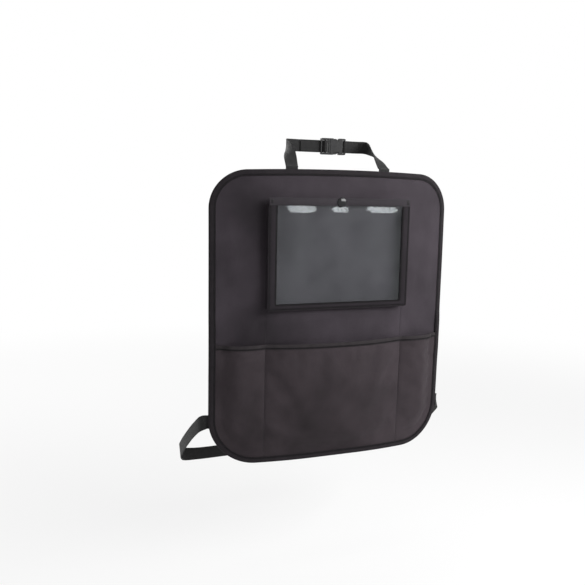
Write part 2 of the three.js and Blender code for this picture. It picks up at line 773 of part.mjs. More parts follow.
// Rounded at the end away from the mouth
function bodyOutline(start, end, half) {
  const shape = new THREE.Shape();
  shape.moveTo(start, -half);
  shape.lineTo(end - BUCKLE_CORNER, -half);
  shape.quadraticCurveTo(end, -half, end, -half + BUCKLE_CORNER);
  shape.lineTo(end, half - BUCKLE_CORNER);
  shape.quadraticCurveTo(end, half, end - BUCKLE_CORNER, half);
  shape.lineTo(start, half);
  shape.closePath();
  return shape;
}

// Thins the bars on both faces so that the webbing lies between the rails
function thinBars(solid, from, to, slotHalf) {
  const deep = BUCKLE_THICKNESS;
  const above = solidOf(block(from, to, BAR / 2, deep, -slotHalf, slotHalf));
  const below = solidOf(block(from, to, -deep, -BAR / 2, -slotHalf, slotHalf));
  return solid.subtract(above).subtract(below);
}

function slotTool(from, to, slotHalf) {
  return solidOf(block(from, to, -BUCKLE_THICKNESS, BUCKLE_THICKNESS, -slotHalf, slotHalf));
}

function buckleSizes(width) {
  const slotHalf = width / 2 + SLOT_CLEARANCE;
  const half = slotHalf + BUCKLE_RAIL;
  const cavityHalf = half - BUCKLE_RAIL;
  return { slotHalf, half, cavityHalf };
}

function buckleSocket(width) {
  const { slotHalf, half, cavityHalf } = buckleSizes(width);
  const barFar = socketBar + BAR / 2;
  const outline = bodyOutline(0, barFar, half);
  const roof = BUCKLE_THICKNESS / 2 - SOCKET_ROOF;
  const cavityEnd = SOCKET_LENGTH - SOCKET_END_WALL;
  let body = solidOf(centredPlate(outline, BUCKLE_THICKNESS));
  body = body.subtract(slotTool(SOCKET_LENGTH, socketBar - BAR / 2, slotHalf));
  body = thinBars(body, SOCKET_LENGTH, barFar + BUCKLE_FIT, slotHalf);
  body = body.subtract(solidOf(block(-BUCKLE_FIT, cavityEnd, -roof, roof, -cavityHalf, cavityHalf)));
  const windowEnd = WINDOW_START + WINDOW_LENGTH;
  const windowHalf = cavityHalf - BUCKLE_RAIL / 2;
  const deep = BUCKLE_THICKNESS;
  for (const [z0, z1] of [[windowHalf, half + BUCKLE_FIT], [-half - BUCKLE_FIT, -windowHalf]]) {
    body = body.subtract(solidOf(block(WINDOW_START, windowEnd, -deep, deep, z0, z1)));
  }
  return geometryOf(body);
}

function bucklePlug(width) {
  const { slotHalf, half, cavityHalf } = buckleSizes(width);
  const innerFar = ladderInner + BAR / 2;
  const barFar = ladderOuter + BAR / 2;
  const baseStart = BUCKLE_FIT;
  const outline = bodyOutline(baseStart, barFar, half);
  const firstSlot = baseStart + STOP_FLANGE;
  let body = solidOf(centredPlate(outline, BUCKLE_THICKNESS));
  body = body.subtract(slotTool(firstSlot, ladderInner - BAR / 2, slotHalf));
  body = body.subtract(slotTool(innerFar, ladderOuter - BAR / 2, slotHalf));
  body = thinBars(body, firstSlot, barFar + BUCKLE_FIT, slotHalf);

  const prongThickness = BUCKLE_THICKNESS - 2 * (SOCKET_ROOF + BUCKLE_FIT);
  const armOuter = cavityHalf - BUCKLE_FIT;
  const armInner = armOuter - PRONG;
  const barbOuter = half - BARB_SET_BACK;
  const barbStart = WINDOW_START + BUCKLE_FIT;
  const barbEnd = WINDOW_START + WINDOW_LENGTH - BUCKLE_FIT;
  const root = baseStart + STOP_FLANGE / 2;
  for (const side of [-1, 1]) {
    const arm = new THREE.Shape();
    arm.moveTo(root, side * armInner);
    arm.lineTo(root, side * armOuter);
    arm.lineTo(-barbStart, side * armOuter);
    arm.lineTo(-barbStart, side * barbOuter);
    arm.lineTo(-(barbStart + barbEnd) / 2, side * barbOuter);
    arm.lineTo(-barbEnd, side * armOuter);
    arm.lineTo(-PRONG_LENGTH, side * (armOuter - PRONG / 2));
    arm.lineTo(-PRONG_LENGTH, side * (armInner - PRONG / 2));
    arm.lineTo(-barbStart, side * armInner);
    arm.closePath();
    body = body.add(solidOf(centredPlate(arm, prongThickness)));
  }
  const tongue = rectangle(new THREE.Shape(), -PRONG_LENGTH, root, -TONGUE_HALF, TONGUE_HALF);
  body = body.add(solidOf(centredPlate(tongue, prongThickness)));
  return geometryOf(body);
}

// The plug comes in from the left, and the socket lies to the right of its mouth.
function makeBuckle(prefix, place, width) {
  const buckle = new THREE.Group();
  buckle.position.set(...place);
  part.add(buckle);
  addNode(prefix + "_buckle_socket", buckleSocket(width), buckleResin, buckle);
  const plug = addNode(prefix + "_buckle_plug", bucklePlug(width), buckleResin, buckle);
  plug.rotation.y = Math.PI;
}

makePanel();
makeBinding();
makeLowerPocket();
makeTabletPocket();
makeSnap();
makeTopStraps();
makeLowerStraps();
makeBuckle("top", topBuckle, TOP_WEBBING_WIDTH);
makeBuckle("lower", lowerBuckle, LOWER_WEBBING_WIDTH);

export default part;
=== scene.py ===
import math

import bpy
import numpy as np
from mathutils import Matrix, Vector, noise


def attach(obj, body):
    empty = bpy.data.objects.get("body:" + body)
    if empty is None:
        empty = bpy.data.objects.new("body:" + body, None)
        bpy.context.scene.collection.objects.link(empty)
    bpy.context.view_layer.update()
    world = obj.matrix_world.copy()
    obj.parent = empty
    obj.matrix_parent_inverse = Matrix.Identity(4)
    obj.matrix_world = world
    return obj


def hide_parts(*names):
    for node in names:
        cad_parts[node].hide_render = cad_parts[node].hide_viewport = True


# Car seat protector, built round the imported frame.
# Lengths are in millimetres until a mesh is made. The pocket side faces -Y, and +Z is up.

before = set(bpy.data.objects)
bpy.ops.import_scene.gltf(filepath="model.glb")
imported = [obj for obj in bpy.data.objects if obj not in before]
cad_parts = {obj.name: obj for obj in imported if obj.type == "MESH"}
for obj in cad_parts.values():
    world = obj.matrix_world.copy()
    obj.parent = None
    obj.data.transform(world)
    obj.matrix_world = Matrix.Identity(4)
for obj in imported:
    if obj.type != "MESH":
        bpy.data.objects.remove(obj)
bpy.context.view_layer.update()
MM = 0.001

# Sizes of the frame
FIT = 0.3
PANEL_WIDTH = 460
PANEL_HEIGHT = 520
PANEL_THICKNESS = 2.4
TOP_CORNER_RADIUS = 66
BOTTOM_CORNER_RADIUS = 82
TOP_ARCH = 3
FLAT_HALF_WIDTH = 40
FLAT_HALF_HEIGHT = 60
ACROSS_BEND = 0.0007
UPRIGHT_BEND = 0.00006
BINDING_REACH = 10
BINDING_TAPE = 0.9
HEM_REACH = 8
HEM_TAPE = 0.8
POCKET_TOP_Z = -43
POCKET_CLOTH = 0.8
DIVIDER_X = 134
MIDDLE_POCKET_GAPE = 14
SIDE_POCKET_GAPE = 10
POCKET_STEP = 30
BINDING_STEP = 22
RIM_FLAT = 8
RIM_RISE = 12
TABLET_HALF_WIDTH = 135
TABLET_BOTTOM_Z = 19.5
TABLET_TOP_Z = 214.5
TABLET_DEPTH = 8
FRAME_SIDE = 15
FRAME_BOTTOM = 11
FRAME_CLOTH = 0.8
FRAME_CORNER = 3
BAND_HEIGHT = 13
BAND_TAPE = 0.6
FILM = 0.4
FILM_OVERLAP = 6
GUSSET_CLOTH = 0.9
SNAP_POST_RADIUS = 2
SNAP_HOLE_RADIUS = 2.5
CAP_RADIUS = 8.5
CAP_HEIGHT = 3.2
CAP_RIM = 0.8
SOCKET_RADIUS = 7
SOCKET_HEIGHT = 3.2
SOCKET_FLOOR = 1
STUD_RADIUS = 6.5
STUD_FLANGE = 1
NUB_RADIUS = 3.2
NUB_HEIGHT = 2.2
WASHER_RADIUS = 7.5
WASHER_HEIGHT = 1.2
DIP_SPREAD_X = 30
DIP_SPREAD_Z = 14
WEBBING = 1.4
TOP_WEBBING_WIDTH = 22
LOWER_WEBBING_WIDTH = 25
TOP_STRAP_X = 89
LOWER_STRAP_Z = -183
ROOT_LENGTH = 36
STITCHED_RETURN = 28
TAIL_LENGTH = 40
END_CLEAR = 6
STRAP_STEP = 7
LOOP_STEPS = 8
SLOT_CLEARANCE = 0.6
BUCKLE_FIT = 0.4
BAR = 2.4
BAR_SLOT = 4.2
LADDER_SLOT = 5.6
SOCKET_LENGTH = 24
STOP_FLANGE = 3
TOP_ROUTE = [
    (-88.4, 9, 269), (-86, 23, 283), (-82.6, 41, 297), (-80.6, 56, 304.5),
    (-78.2, 66, 307.5), (-71, 70, 308),
]
TOP_TURNS = [
    (1, 0, 0.05), (0.92, -0.1, 0.35), (0.6, -0.2, 0.75), (0.2, -0.15, 0.97),
    (0, 0, 1), (0, 0, 1),
]
TOP_BUCKLE = (8, 70, 308)
LOWER_ROUTE = [
    (-243, 38, -189), (-249, 60, -206), (-254, 92, -232), (-256, 130, -261),
    (-253, 164, -285), (-240, 186, -300), (-210, 196, -306), (-160, 197, -306),
]
LOWER_TURNS = [
    (0.05, 0.25, 0.96), (0.05, 0.45, 0.89), (0.02, 0.6, 0.8), (0, 0.6, 0.8),
    (0, 0.45, 0.89), (0, 0.2, 0.98), (0, 0, 1), (0, 0, 1),
]
LOWER_BUCKLE = (0, 197, -306)

# Steps of the fine surface
CLOTH_STEP = 5
POCKET_ROW = 4.5
FILM_STEP = 2.5
TAPE_STEP = 4
BAND_STEP = 2
ARC_STEPS = 24
FOLD_STEPS = 6
CORNER_ANGLES = 7
GUSSET_SHARES = 7
STRAP_SUBSTEPS = 3
LATHE_SEGMENTS = 48
ROUNDING_STEPS = 3
BUCKLE_SEGMENTS = 3
DOME_POINTS = 14
PIPING_SIDES = 8
STITCH_SIDES = 6
CURVE_POINTS = 400
DIVIDER_COLUMNS = [DIVIDER_X + away for away in (-4, -2, 0, 2, 4)]
SAME_PLACE = 0.01
POINT_GAP = 0.05
TINY = 1e-9

# Angles from which an edge is sharp, in degrees
SHARP_CLOTH = 40
SHARP_TAPE = 60
SHARP_WEBBING = 50
SHARP_SNAP = 35
SHARP_BUCKLE = 35
FLAT_BUCKLE = 2

# Tapes and their seams
SEAM_INSET = 1.9
SEAM_GROOVE = 0.22
SEAM_HALF = 1.2
SEAM_EDGE = 1.1
SEAM_RISE = 0.02
SEAM_END = 1
UPRIGHT_SEAM_END = 2
TAPE_RISE = 0.05
TAPE_BELLY = 0.1
TAPE_SWELL = 0.12
LIP = 0.1
LIP_DROP = 0.2
HEM_FOLD = 1.2
BAND_BELLY = 0.15
BINDING_FOLD = 1.6
BINDING_SEAM_HALF = 1.3
BINDING_LIP = 0.15
BINDING_LIP_DROP = 0.25

# Clear pocket
FRAME_ROUND = 0.3
FRAME_EASE = 0.4
FRAME_SWELL = 0.3
GUSSET_BULGE = 1.3
PIPING_RADIUS = 1.1
PIPING_OUT = 0.2
FILM_DIP_SPREAD = 60
FILM_TOP_CLEAR = 1.6

# Stitches, with five places along each: share of its length, lift, and share of its radius
THREAD_RADIUS = 0.32
STITCH_PITCH = 3.4
STITCH_LENGTH = 2.6
STITCH_SINK = 0.25
STITCH_SHARES = np.array([-0.5, -0.36, 0, 0.36, 0.5])
STITCH_LIFTS = np.array([-STITCH_SINK, 0.12, 0.3, 0.12, -STITCH_SINK])
STITCH_SIZES = np.array([0.55, 0.95, 1, 0.95, 0.55])
BOX_STITCH = {"pitch": 2.6, "length": 2.1, "radius": 0.3}
BOX_POINTS = 9
BOX_MARGIN = 3
BOX_CLEAR = 9
BOX_RISE = 0.02
TACK_STITCH = {"pitch": 8.3, "length": 8.0, "radius": 0.36}
TACK_COUNT = 7
TACK_STEP = 0.55
TACK_MARGIN = 3
TACK_LOW = 2.5
TACK_HIGH = 2.2
TACK_LEAN = 0.25

# Snap and buckles
DIMPLE_DEPTH = 0.3
DIMPLE_FLOOR = 2.2
DIMPLE_EDGE = 2.8
AXIS_RADIUS = 0.02
SNAP_ROUNDING = 0.3
WASHER_ROUNDING = 0.4
ROUNDING_SHARE = 2.2
DOME_GAP = 0.02
BUCKLE_EDGE = 0.45
BUCKLE_WELD = 0.02

# The webbing's cross-section: length in from its edge, and share of its thickness there
WEBBING_PROFILE = [(0, 0.3), (0.35, 0.92), (1.5, 1)]
WEBBING_MIDDLE = 0.9

# Smooth waves of each surface: height, size and seed of each
PANEL_WAVES = [(2.8, 95, 3), (1.1, 40, 8)]
LINING_WAVES = [(0.25, 60, 15)]
LINING_SINK = 0.25
BINDING_WAVES = [(0.12, 18, 21)]
POCKET_WAVES = [(1.3, 70, 31), (0.6, 30, 37)]
POCKET_RISE = 0.2
HEM_WAVES = [(0.15, 22, 44)]
FRAME_WAVES = [(0.3, 24, 51)]
GUSSET_WAVES = [(0.9, 16, 61)]
BAND_WAVES = [(0.12, 20, 71)]
FILM_TOP_WAVES = [(0.8, 40, 88)]
FILM_WAVES = [(0.3, 62, 81), (0.12, 27, 85)]
FILM_SQUEEZES = [1.7, 1.4]

# How far from a seam each relief begins, and is full
PANEL_FROM_BINDING = (1, 24)
PANEL_FROM_TABLET = (2, 22)
PANEL_FROM_POCKET = (4, 26)
POCKET_FROM_BINDING = (2, 26)
POCKET_FROM_DIVIDER = (1, 20)
POCKET_FROM_HEM = (0, 8)
GAPE_FROM_BINDING = (2, 36)
LOOSE_FROM_BINDING = (1, 10)
LOOSE_FROM_DIVIDER = (1, 8)
LOOSE_FROM_HEM = (0, 6)

# Grooves along the dividers: depth and width
PANEL_GROOVE = (0.7, 2.2)
PANEL_GROOVE_START = 4
POCKET_GROOVE = (0.5, 1.8)

# Folds: start, end, width and height of each
RIDGE_END = 0.001
RIDGE_POWER = 0.6
PANEL_FOLDS = [
    ((-139, 14), (-150, -40), 7, -1.6), ((-152, 22), (-172, -40), 12, 0.9),
    ((-150, 205), (-196, 236), 10, 0.7), ((146, 200), (196, 214), 12, -0.6),
    ((139, 14), (152, -38), 8, -0.7), ((150, 20), (178, -36), 13, 0.7),
    ((-89, 246), (-70, 222), 9, -0.5), ((89, 246), (72, 222), 9, -0.5),
    ((192, 20), (198, 180), 9, 0.9), ((168, 10), (176, 160), 10, -0.7),
    ((-168, 40), (-162, 190), 12, -0.6), ((-192, 60), (-186, 200), 10, 0.5),
]
POCKET_FOLDS = [
    ((-214, -58), (-176, -68), 6, -1.5), ((-184, -67), (-142, -56), 6, -1.3),
    ((140, -56), (172, -70), 6, -1.4), ((168, -66), (212, -58), 7, -1.2),
    ((-206, -74), (-150, -74), 9, 1.1), ((146, -76), (206, -74), 9, 1.1),
    ((-122, -60), (-84, -130), 16, 0.4), ((122, -60), (88, -128), 16, 0.4),
    ((-100, -222), (60, -214), 12, 0.9), ((-60, -196), (100, -190), 14, -0.8),
]

# Tucks of the film under the band: each rises between its first two places and falls between the others
FILM_TUCKS = [(-58, -44, -20, -10), (8, 16, 44, 60)]
FILM_BELLY = 2.25
FILM_BELLY_TOP = 13
FILM_BELLY_SIDE = 22
FILM_BELLY_LOW = 60
FILM_NEAR_BAND = (-46, -12)
FILM_LOW_SHARE = 0.35
FILM_TUCK_SHARE = 0.85
FILM_SNAP_SHARE = 0.35
FILM_SNAP_WIDTH = 16

# Cloth simulation
SETTLE_STEPS = 16
SETTLE_CAP = 2.0
SETTLE_SLIDE = 1.2
CLOTH_QUALITY = 6
CLOTH_MASS = 0.1
CLOTH_STRETCH = 20
CLOTH_SHEAR = 10
CLOTH_BENDING = 2.5
GRAVITY_SHARE = 0.15
POCKET_SLACK = 0.005
POCKET_PUSH = 0.4

# Camera and stage
CAMERA_PLACE = (-516.6, -1148.5, 231.6)
CAMERA_TURN = (81.53, -1.126, -20.394)
CAMERA_LENS = 43.33
FLOOR_Z = -480
FLOOR_HALF = 6000
SENSOR_WIDTH = 36
NEAREST = 10
AMBIENT = 0.28
FLOOR_GLOW = 0.72
SHADOW_REACH = 700
WHITE_FROM = 2600
WHITE = (1, 1, 1, 1)
FLOOR_COLOUR = (0.9, 0.9, 0.9, 1)

# Name, place, size and watts of each lamp
LAMPS = [
    ("key", (750, -800, 560), (1200, 480), 19),
    ("fill", (-1400, -1300, 300), (1200, 1200), 1.5),
    ("top", (200, 100, 1600), (1300, 900), 4),
    ("rear", (-700, 1600, 900), (1200, 900), 16),
]

# Colours, as linear red, green and blue
PANEL_COLOUR = (0.0385, 0.032, 0.0385)
POCKET_COLOUR = (0.0365, 0.029, 0.033)
LINING_COLOUR = (0.045, 0.041, 0.044)
TAPE_COLOUR = (0.0178, 0.0152, 0.0174)
# Painted shade for the seam grooves and the clear pocket's inner edge
SEAM_SHADE_COLOUR = (0.006, 0.0052, 0.006)
HEM_COLOUR = (0.027, 0.0235, 0.0253)
BAND_COLOUR = (0.031, 0.027, 0.0315)
FRAME_COLOUR = (0.0158, 0.013, 0.016)
WEBBING_COLOUR = (0.0138, 0.0136, 0.0139)
THREAD_COLOUR = (0.012, 0.0105, 0.012)
BUCKLE_COLOUR = (0.008, 0.008, 0.0087)
SNAP_COLOUR = (0.006, 0.006, 0.007)
SHEEN_COLOUR = (0.9, 0.86, 0.9, 1)
FILM_COLOUR = (0.93, 0.95, 0.96, 1)
FILM_CLEAR = (0.93, 0.95, 0.955, 1)
DUST_COLOUR = (0.7, 0.72, 0.74, 1)

# Painted shade on the cloth, darker areas where shade falls: place, reach and share of each
PANEL_PAINTED_SHADE = [((-155, 185), 110, 0.45), ((-140, -25), 105, 0.45), ((90, -60), 90, 0.12)]
POCKET_PAINTED_SHADE = [((-175, -150), 110, 0.16), ((-20, -265), 220, 0.34), ((-150, -250), 120, 0.12)]

GRAIN_ROUGHNESS = 0.55

# Sizes of the materials' grain, in millimetres
CLOTH_PATCH = 90
CLOTH_WORN = 17
CLOTH_FIBRE = 0.9
CLOTH_SLUB = 1.1
CLOTH_PITCH = 0.55
FRAME_PITCH = 0.5
LINING_PITCH = 0.8
RIB_PITCH = 0.75
TAPE_WORN = 14
TAPE_FIBRE = 0.7
TWILL_FOLD = 3.2
TWILL_PITCH = 1.1
TWILL_ROWS = 0.8
WEBBING_WORN = 16
WEBBING_FIBRE = 0.6
THREAD_TWIST = 0.45
THREAD_FIBRE = 0.5
RESIN_CLOUD = 9
RESIN_SPECK = 0.5
RESIN_SCUFF = 1.6
FILM_HAZE = 38
FILM_SCUFF = 5
FILM_WAVE = 42
FILM_STREAK = 55

half_width = PANEL_WIDTH / 2
half_height = PANEL_HEIGHT / 2
panel_front = PANEL_THICKNESS
pocket_rear = panel_front + FIT
pocket_front = pocket_rear + POCKET_CLOTH
film_rear = panel_front + TABLET_DEPTH
frame_rear = film_rear + FILM + FIT
frame_front = frame_rear + FRAME_CLOTH
band_rear = film_rear - FIT - BAND_TAPE
band_front = frame_front + FIT
stud_rear = panel_front + FIT
socket_rear = stud_rear + STUD_FLANGE + FIT
snap_stack = socket_rear + SOCKET_HEIGHT + FIT
snap_z = TABLET_TOP_Z - BAND_HEIGHT / 2
band_low = TABLET_TOP_Z - BAND_HEIGHT
window_half = TABLET_HALF_WIDTH - FRAME_SIDE
window_low = TABLET_BOTTOM_Z + FRAME_BOTTOM

FRONT = (0, -1, 0)
REAR = (0, 1, 0)


# Points and lengths


def joined(*parts):
    """Points from their x, y and z, each of them a number or an array."""
    return np.stack(np.broadcast_arrays(*parts), axis=-1)


def lengths(vectors):
    return np.linalg.norm(vectors, axis=-1)


def unit(vectors):
    return vectors / np.maximum(TINY, np.linalg.norm(vectors, axis=-1, keepdims=True))


def run_along(line):
    """Length along a line up to each of its points."""
    return np.concatenate([[0], np.cumsum(lengths(np.diff(line, axis=0)))])


def between(places, known, values):
    """Values at the places, from those at the known places."""
    return np.stack([np.interp(places, known, column) for column in values.T], axis=-1)


# Shapes shared with the frame


def smooth(value, low, high):
    share = np.clip((np.asarray(value, float) - low) / (high - low), 0, 1)
    return share * share * (3 - 2 * share)


def stepped(start, end, step):
    count = max(1, math.ceil(abs(end - start) / step))
    return np.linspace(start, end, count + 1)


def seat_bend(x, z):
    across = np.maximum(0, np.abs(x) - FLAT_HALF_WIDTH)
    upright = np.maximum(0, np.abs(z) - FLAT_HALF_HEIGHT)
    return ACROSS_BEND * across**2 + UPRIGHT_BEND * upright**2


def on_panel(x, z, lift):
    return joined(x, seat_bend(x, z) - lift, z)


def edge_z(x, radius, inset):
    out = np.abs(x) - (half_width - radius)
    side = radius - inset
    drop = np.where(out <= 0, side, np.sqrt(np.maximum(0, side * side - out * out)))
    return half_height - radius + drop


def top_z(x, inset):
    share = np.minimum(1, np.abs(x) / (half_width - TOP_CORNER_RADIUS))
    return edge_z(x, TOP_CORNER_RADIUS, inset) + TOP_ARCH * (1 - share * share)


def bottom_z(x, inset):
    return -edge_z(x, BOTTOM_CORNER_RADIUS, inset)


def inside_distance(x, z, radius, up):
    along_x = np.abs(x) - (half_width - radius)
    along_z = up * z - (half_height - radius)
    corner = np.hypot(np.maximum(0, along_x), np.maximum(0, along_z))
    flat = np.minimum(0, np.maximum(along_x, along_z))
    return radius - corner - flat


def panel_inside(x, z):
    low = inside_distance(x, z, BOTTOM_CORNER_RADIUS, -1)
    return np.minimum(low, inside_distance(x, z, TOP_CORNER_RADIUS, 1))


def hem_lift(z, margin):
    away = np.abs(z - POCKET_TOP_Z + HEM_REACH / 2) - HEM_REACH / 2
    return (HEM_TAPE + FIT) * (1 - smooth(away, margin, margin + POCKET_STEP))


def pocket_gape(x, z):
    pocket_end = half_width - BINDING_REACH
    side_middle = (DIVIDER_X + pocket_end) / 2
    side_half = (pocket_end - DIVIDER_X) / 2
    in_middle = np.abs(x) < DIVIDER_X
    share = np.where(in_middle, x / DIVIDER_X, (np.abs(x) - side_middle) / side_half)
    across = np.maximum(0, 1 - share * share)
    floor_z = -half_height + BINDING_REACH
    depth = np.clip((POCKET_TOP_Z - z) / (POCKET_TOP_Z - floor_z), 0, 1)
    rim_start = BINDING_REACH + RIM_FLAT
    inside = inside_distance(x, z, BOTTOM_CORNER_RADIUS, -1)
    rim = smooth(inside, rim_start, rim_start + RIM_RISE)
    gape = np.where(in_middle, MIDDLE_POCKET_GAPE, SIDE_POCKET_GAPE)
    return gape * across * (1 - depth * depth) * rim + hem_lift(z, POCKET_STEP / 2)


snap_bend = float(seat_bend(0, snap_z))


def snap_dip(x, z, spread=DIP_SPREAD_Z):
    depth = band_rear - (snap_stack - snap_bend)
    across = x / DIP_SPREAD_X
    down = np.maximum(0, band_low - z) / spread
    return depth * np.exp(-across * across - down * down)


# Waves and folds


def lumps(x, z, size, seed):
    """Smooth noise from -1 to 1 over the cloth, with lumps of that size."""
    values = [noise.noise(Vector((a / size, b / size, seed))) for a, b in joined(x, z).reshape(-1, 2)]
    return np.array(values).reshape(np.broadcast(x, z).shape)


def waved(x, z, waves):
    return sum(height * lumps(x, z, size, seed) for height, size, seed in waves)


def ridge(x, z, start, end, width):
    """1 along the line from start to end, falling off over the width and at both ends."""
    (x0, z0), (x1, z1) = start, end
    length = math.hypot(x1 - x0, z1 - z0)
    along = ((x - x0) * (x1 - x0) + (z - z0) * (z1 - z0)) / length
    side = ((x - x0) * (z1 - z0) - (z - z0) * (x1 - x0)) / length
    share = np.clip(along / length, 0, 1)
    past = along - share * length
    fade = np.sin(math.pi * np.clip(share, RIDGE_END, 1 - RIDGE_END)) ** RIDGE_POWER
    return fade * np.exp(-(side * side + past * past) / (width * width))


def folded(x, z, folds):
    return sum(height * ridge(x, z, start, end, width) for start, end, width, height in folds)


def groove(x, depth, width):
    """Depth at each divider, falling off to both sides."""
    return depth * np.exp(-(((np.abs(x) - DIVIDER_X) / width) ** 2))


# Materials


class Nodes:
    """Short calls for a node tree."""

    def __init__(self, tree):
        self.tree = tree

    def put(self, socket, value):
        if isinstance(value, bpy.types.NodeSocket):
            self.tree.links.new(value, socket)
        elif value is not None:
            socket.default_value = value

    def node(self, kind, inputs=None, **settings):
        made = self.tree.nodes.new(kind)
        for key, value in settings.items():
            setattr(made, key, value)
        for key, value in (inputs or {}).items():
            self.put(made.inputs[key], value)
        return made

    def calc(self, operation, first, second=None, third=None):
        made = self.node("ShaderNodeMath", operation=operation)
        for socket, value in zip(made.inputs, (first, second, third)):
            self.put(socket, value)
        return made.outputs[0]

    def mix_colour(self, share, first, second):
        made = self.node("ShaderNodeMix", data_type="RGBA")
        colours = [socket for socket in made.inputs if socket.type == "RGBA"]
        self.put(made.inputs["Factor"], share)
        self.put(colours[0], first)
        self.put(colours[1], second)
        return next(socket for socket in made.outputs if socket.type == "RGBA")

    def mix_shader(self, share, first, second):
        return self.node("ShaderNodeMixShader", {0: share, 1: first.outputs[0], 2: second.outputs[0]})

    def shown(self):
        """1 for the rays that show a white surround: straight, mirrored and through clear things."""
        path = self.node("ShaderNodeLightPath").outputs
        direct = self.calc("MAXIMUM", path["Is Camera Ray"], path["Is Glossy Ray"])
        return self.calc("MAXIMUM", direct, path["Is Transmission Ray"])


class Look(Nodes):
    """A material's nodes."""

    def __init__(self, name):
        self.material = bpy.data.materials.new(name + "_look")
        self.material.use_nodes = True
        super().__init__(self.material.node_tree)
        self.shader = self.tree.nodes["Principled BSDF"]

    def place(self, kind):
        return self.node("ShaderNodeTexCoord").outputs[kind]

    def flat_places(self):
        """Places on the flat cloth, and their lengths across and along it."""
        vector = self.place("UV")
        made = self.node("ShaderNodeSeparateXYZ", {"Vector": vector})
        return vector, made.outputs[0], made.outputs[1]

    def stretched(self, vector, scale, turn=(0, 0, 0)):
        inputs = {"Vector": vector, "Scale": scale, "Rotation": turn}
        return self.node("ShaderNodeMapping", inputs).outputs[0]

    def mottle(self, vector, size, detail=2.0):
        inputs = {"Scale": 1 / (size * MM), "Detail": detail, "Roughness": GRAIN_ROUGHNESS}
        return self.node("ShaderNodeTexNoise", {"Vector": vector, **inputs}).outputs[0]

    def wave(self, value, pitch):
        """A sine with one half turn per pitch of the value."""
        return self.calc("SINE", self.calc("MULTIPLY", value, math.pi / (pitch * MM)))

    def bump(self, height, depth, strength, below=None):
        inputs = {"Height": height, "Distance": depth * MM, "Strength": strength, "Normal": below}
        return self.node("ShaderNodeBump", inputs).outputs[0]

    def ramp(self, value, start, end, first, last):
        """A soft step from the first share to the last while the value goes from start to end."""
        limits = {"From Min": start * MM, "From Max": end * MM, "To Min": first, "To Max": last}
        inputs = {"Value": value, **limits}
        made = self.node("ShaderNodeMapRange", inputs, interpolation_type="SMOOTHSTEP")
        return made.outputs["Result"]

    def dyed(self, colour, shade, dark, light):
        return self.mix_colour(shade, tint(colour, dark), tint(colour, light))

    def finish(self, **values):
        for key, value in values.items():
            self.put(self.shader.inputs[key.replace("_", " ")], value)
        return self.material

    def cover(self, shader):
        """Makes another shader than the usual one the surface."""
        self.put(self.tree.nodes["Material Output"].inputs["Surface"], shader.outputs[0])


def tint(colour, times):
    return (*[channel * times for channel in colour], 1)


def weave(look, across, along, pitch):
    """Height of a plain weave, 0 to 1."""
    warp = look.wave(across, pitch)
    weft = look.wave(along, pitch)
    over = look.calc("GREATER_THAN", look.calc("MULTIPLY", warp, weft), 0.0)
    high = look.calc("MULTIPLY", look.calc("ABSOLUTE", warp), over)
    low = look.calc("MULTIPLY", look.calc("ABSOLUTE", weft), look.calc("SUBTRACT", 1.0, over))
    return look.calc("ADD", high, low)


def sum_of(look, base, terms):
    """Base plus each socket's distance from a half times its weight, kept within 0 and 1."""
    total = base
    for socket, weight in terms:
        centred = look.calc("SUBTRACT", socket, 0.5)
        total = look.calc("MULTIPLY_ADD", centred, weight, total)
    return look.calc("MINIMUM", look.calc("MAXIMUM", total, 0.0), 1.0)


def painted_shade_area(look, vector, ragged, place, reach, share):
    """Share of painted shade round one place of the cloth, falling to nothing at its reach."""
    middle = (place[0] * MM, place[1] * MM, 0)
    away = look.node("ShaderNodeVectorMath", {0: vector, 1: middle}, operation="DISTANCE").outputs["Value"]
    away = look.calc("MULTIPLY_ADD", look.calc("SUBTRACT", ragged, 0.5), reach * MM, away)
    return look.ramp(away, 0, reach, share, 0.0)


def cloth_look(name, colour, pitch, rough, sheen, painted_shade_spots=()):
    """Woven cloth, with patches, slubs and areas of painted shade."""
    look = Look(name)
    vector, across, along = look.flat_places()
    threads = weave(look, across, along, pitch)
    patches = look.mottle(vector, CLOTH_PATCH)
    worn = look.mottle(vector, CLOTH_WORN)
    fibres = look.mottle(vector, CLOTH_FIBRE)
    slubs = look.mottle(look.stretched(vector, (1, 0.05, 1)), CLOTH_SLUB)
    terms = [(patches, 1.35), (worn, 0.25), (fibres, 0.35), (slubs, 0.3), (threads, 0.4)]
    dyed = look.dyed(colour, sum_of(look, 0.5, terms), dark=0.66, light=1.42)
    # Painted shade: each listed area is darkened towards a tenth of the cloth's colour, where shade falls
    painted_shade = 0.0
    for place, reach, share in painted_shade_spots:
        painted_shade = look.calc("ADD", painted_shade_area(look, vector, patches, place, reach, share), painted_shade)
    puckers = look.bump(worn, depth=0.5, strength=0.35)
    height = look.calc("MULTIPLY_ADD", fibres, 0.5, threads)
    return look.finish(
        Base_Color=look.mix_colour(painted_shade, dyed, tint(colour, 0.1)),
        Roughness=sum_of(look, rough, [(patches, 0.12), (fibres, 0.12), (threads, -0.1)]),
        Normal=look.bump(height, depth=0.14, strength=0.55, below=puckers),
        Sheen_Weight=sheen,
        Sheen_Roughness=0.45,
        Sheen_Tint=SHEEN_COLOUR,
        Specular_IOR_Level=0.1,
    )


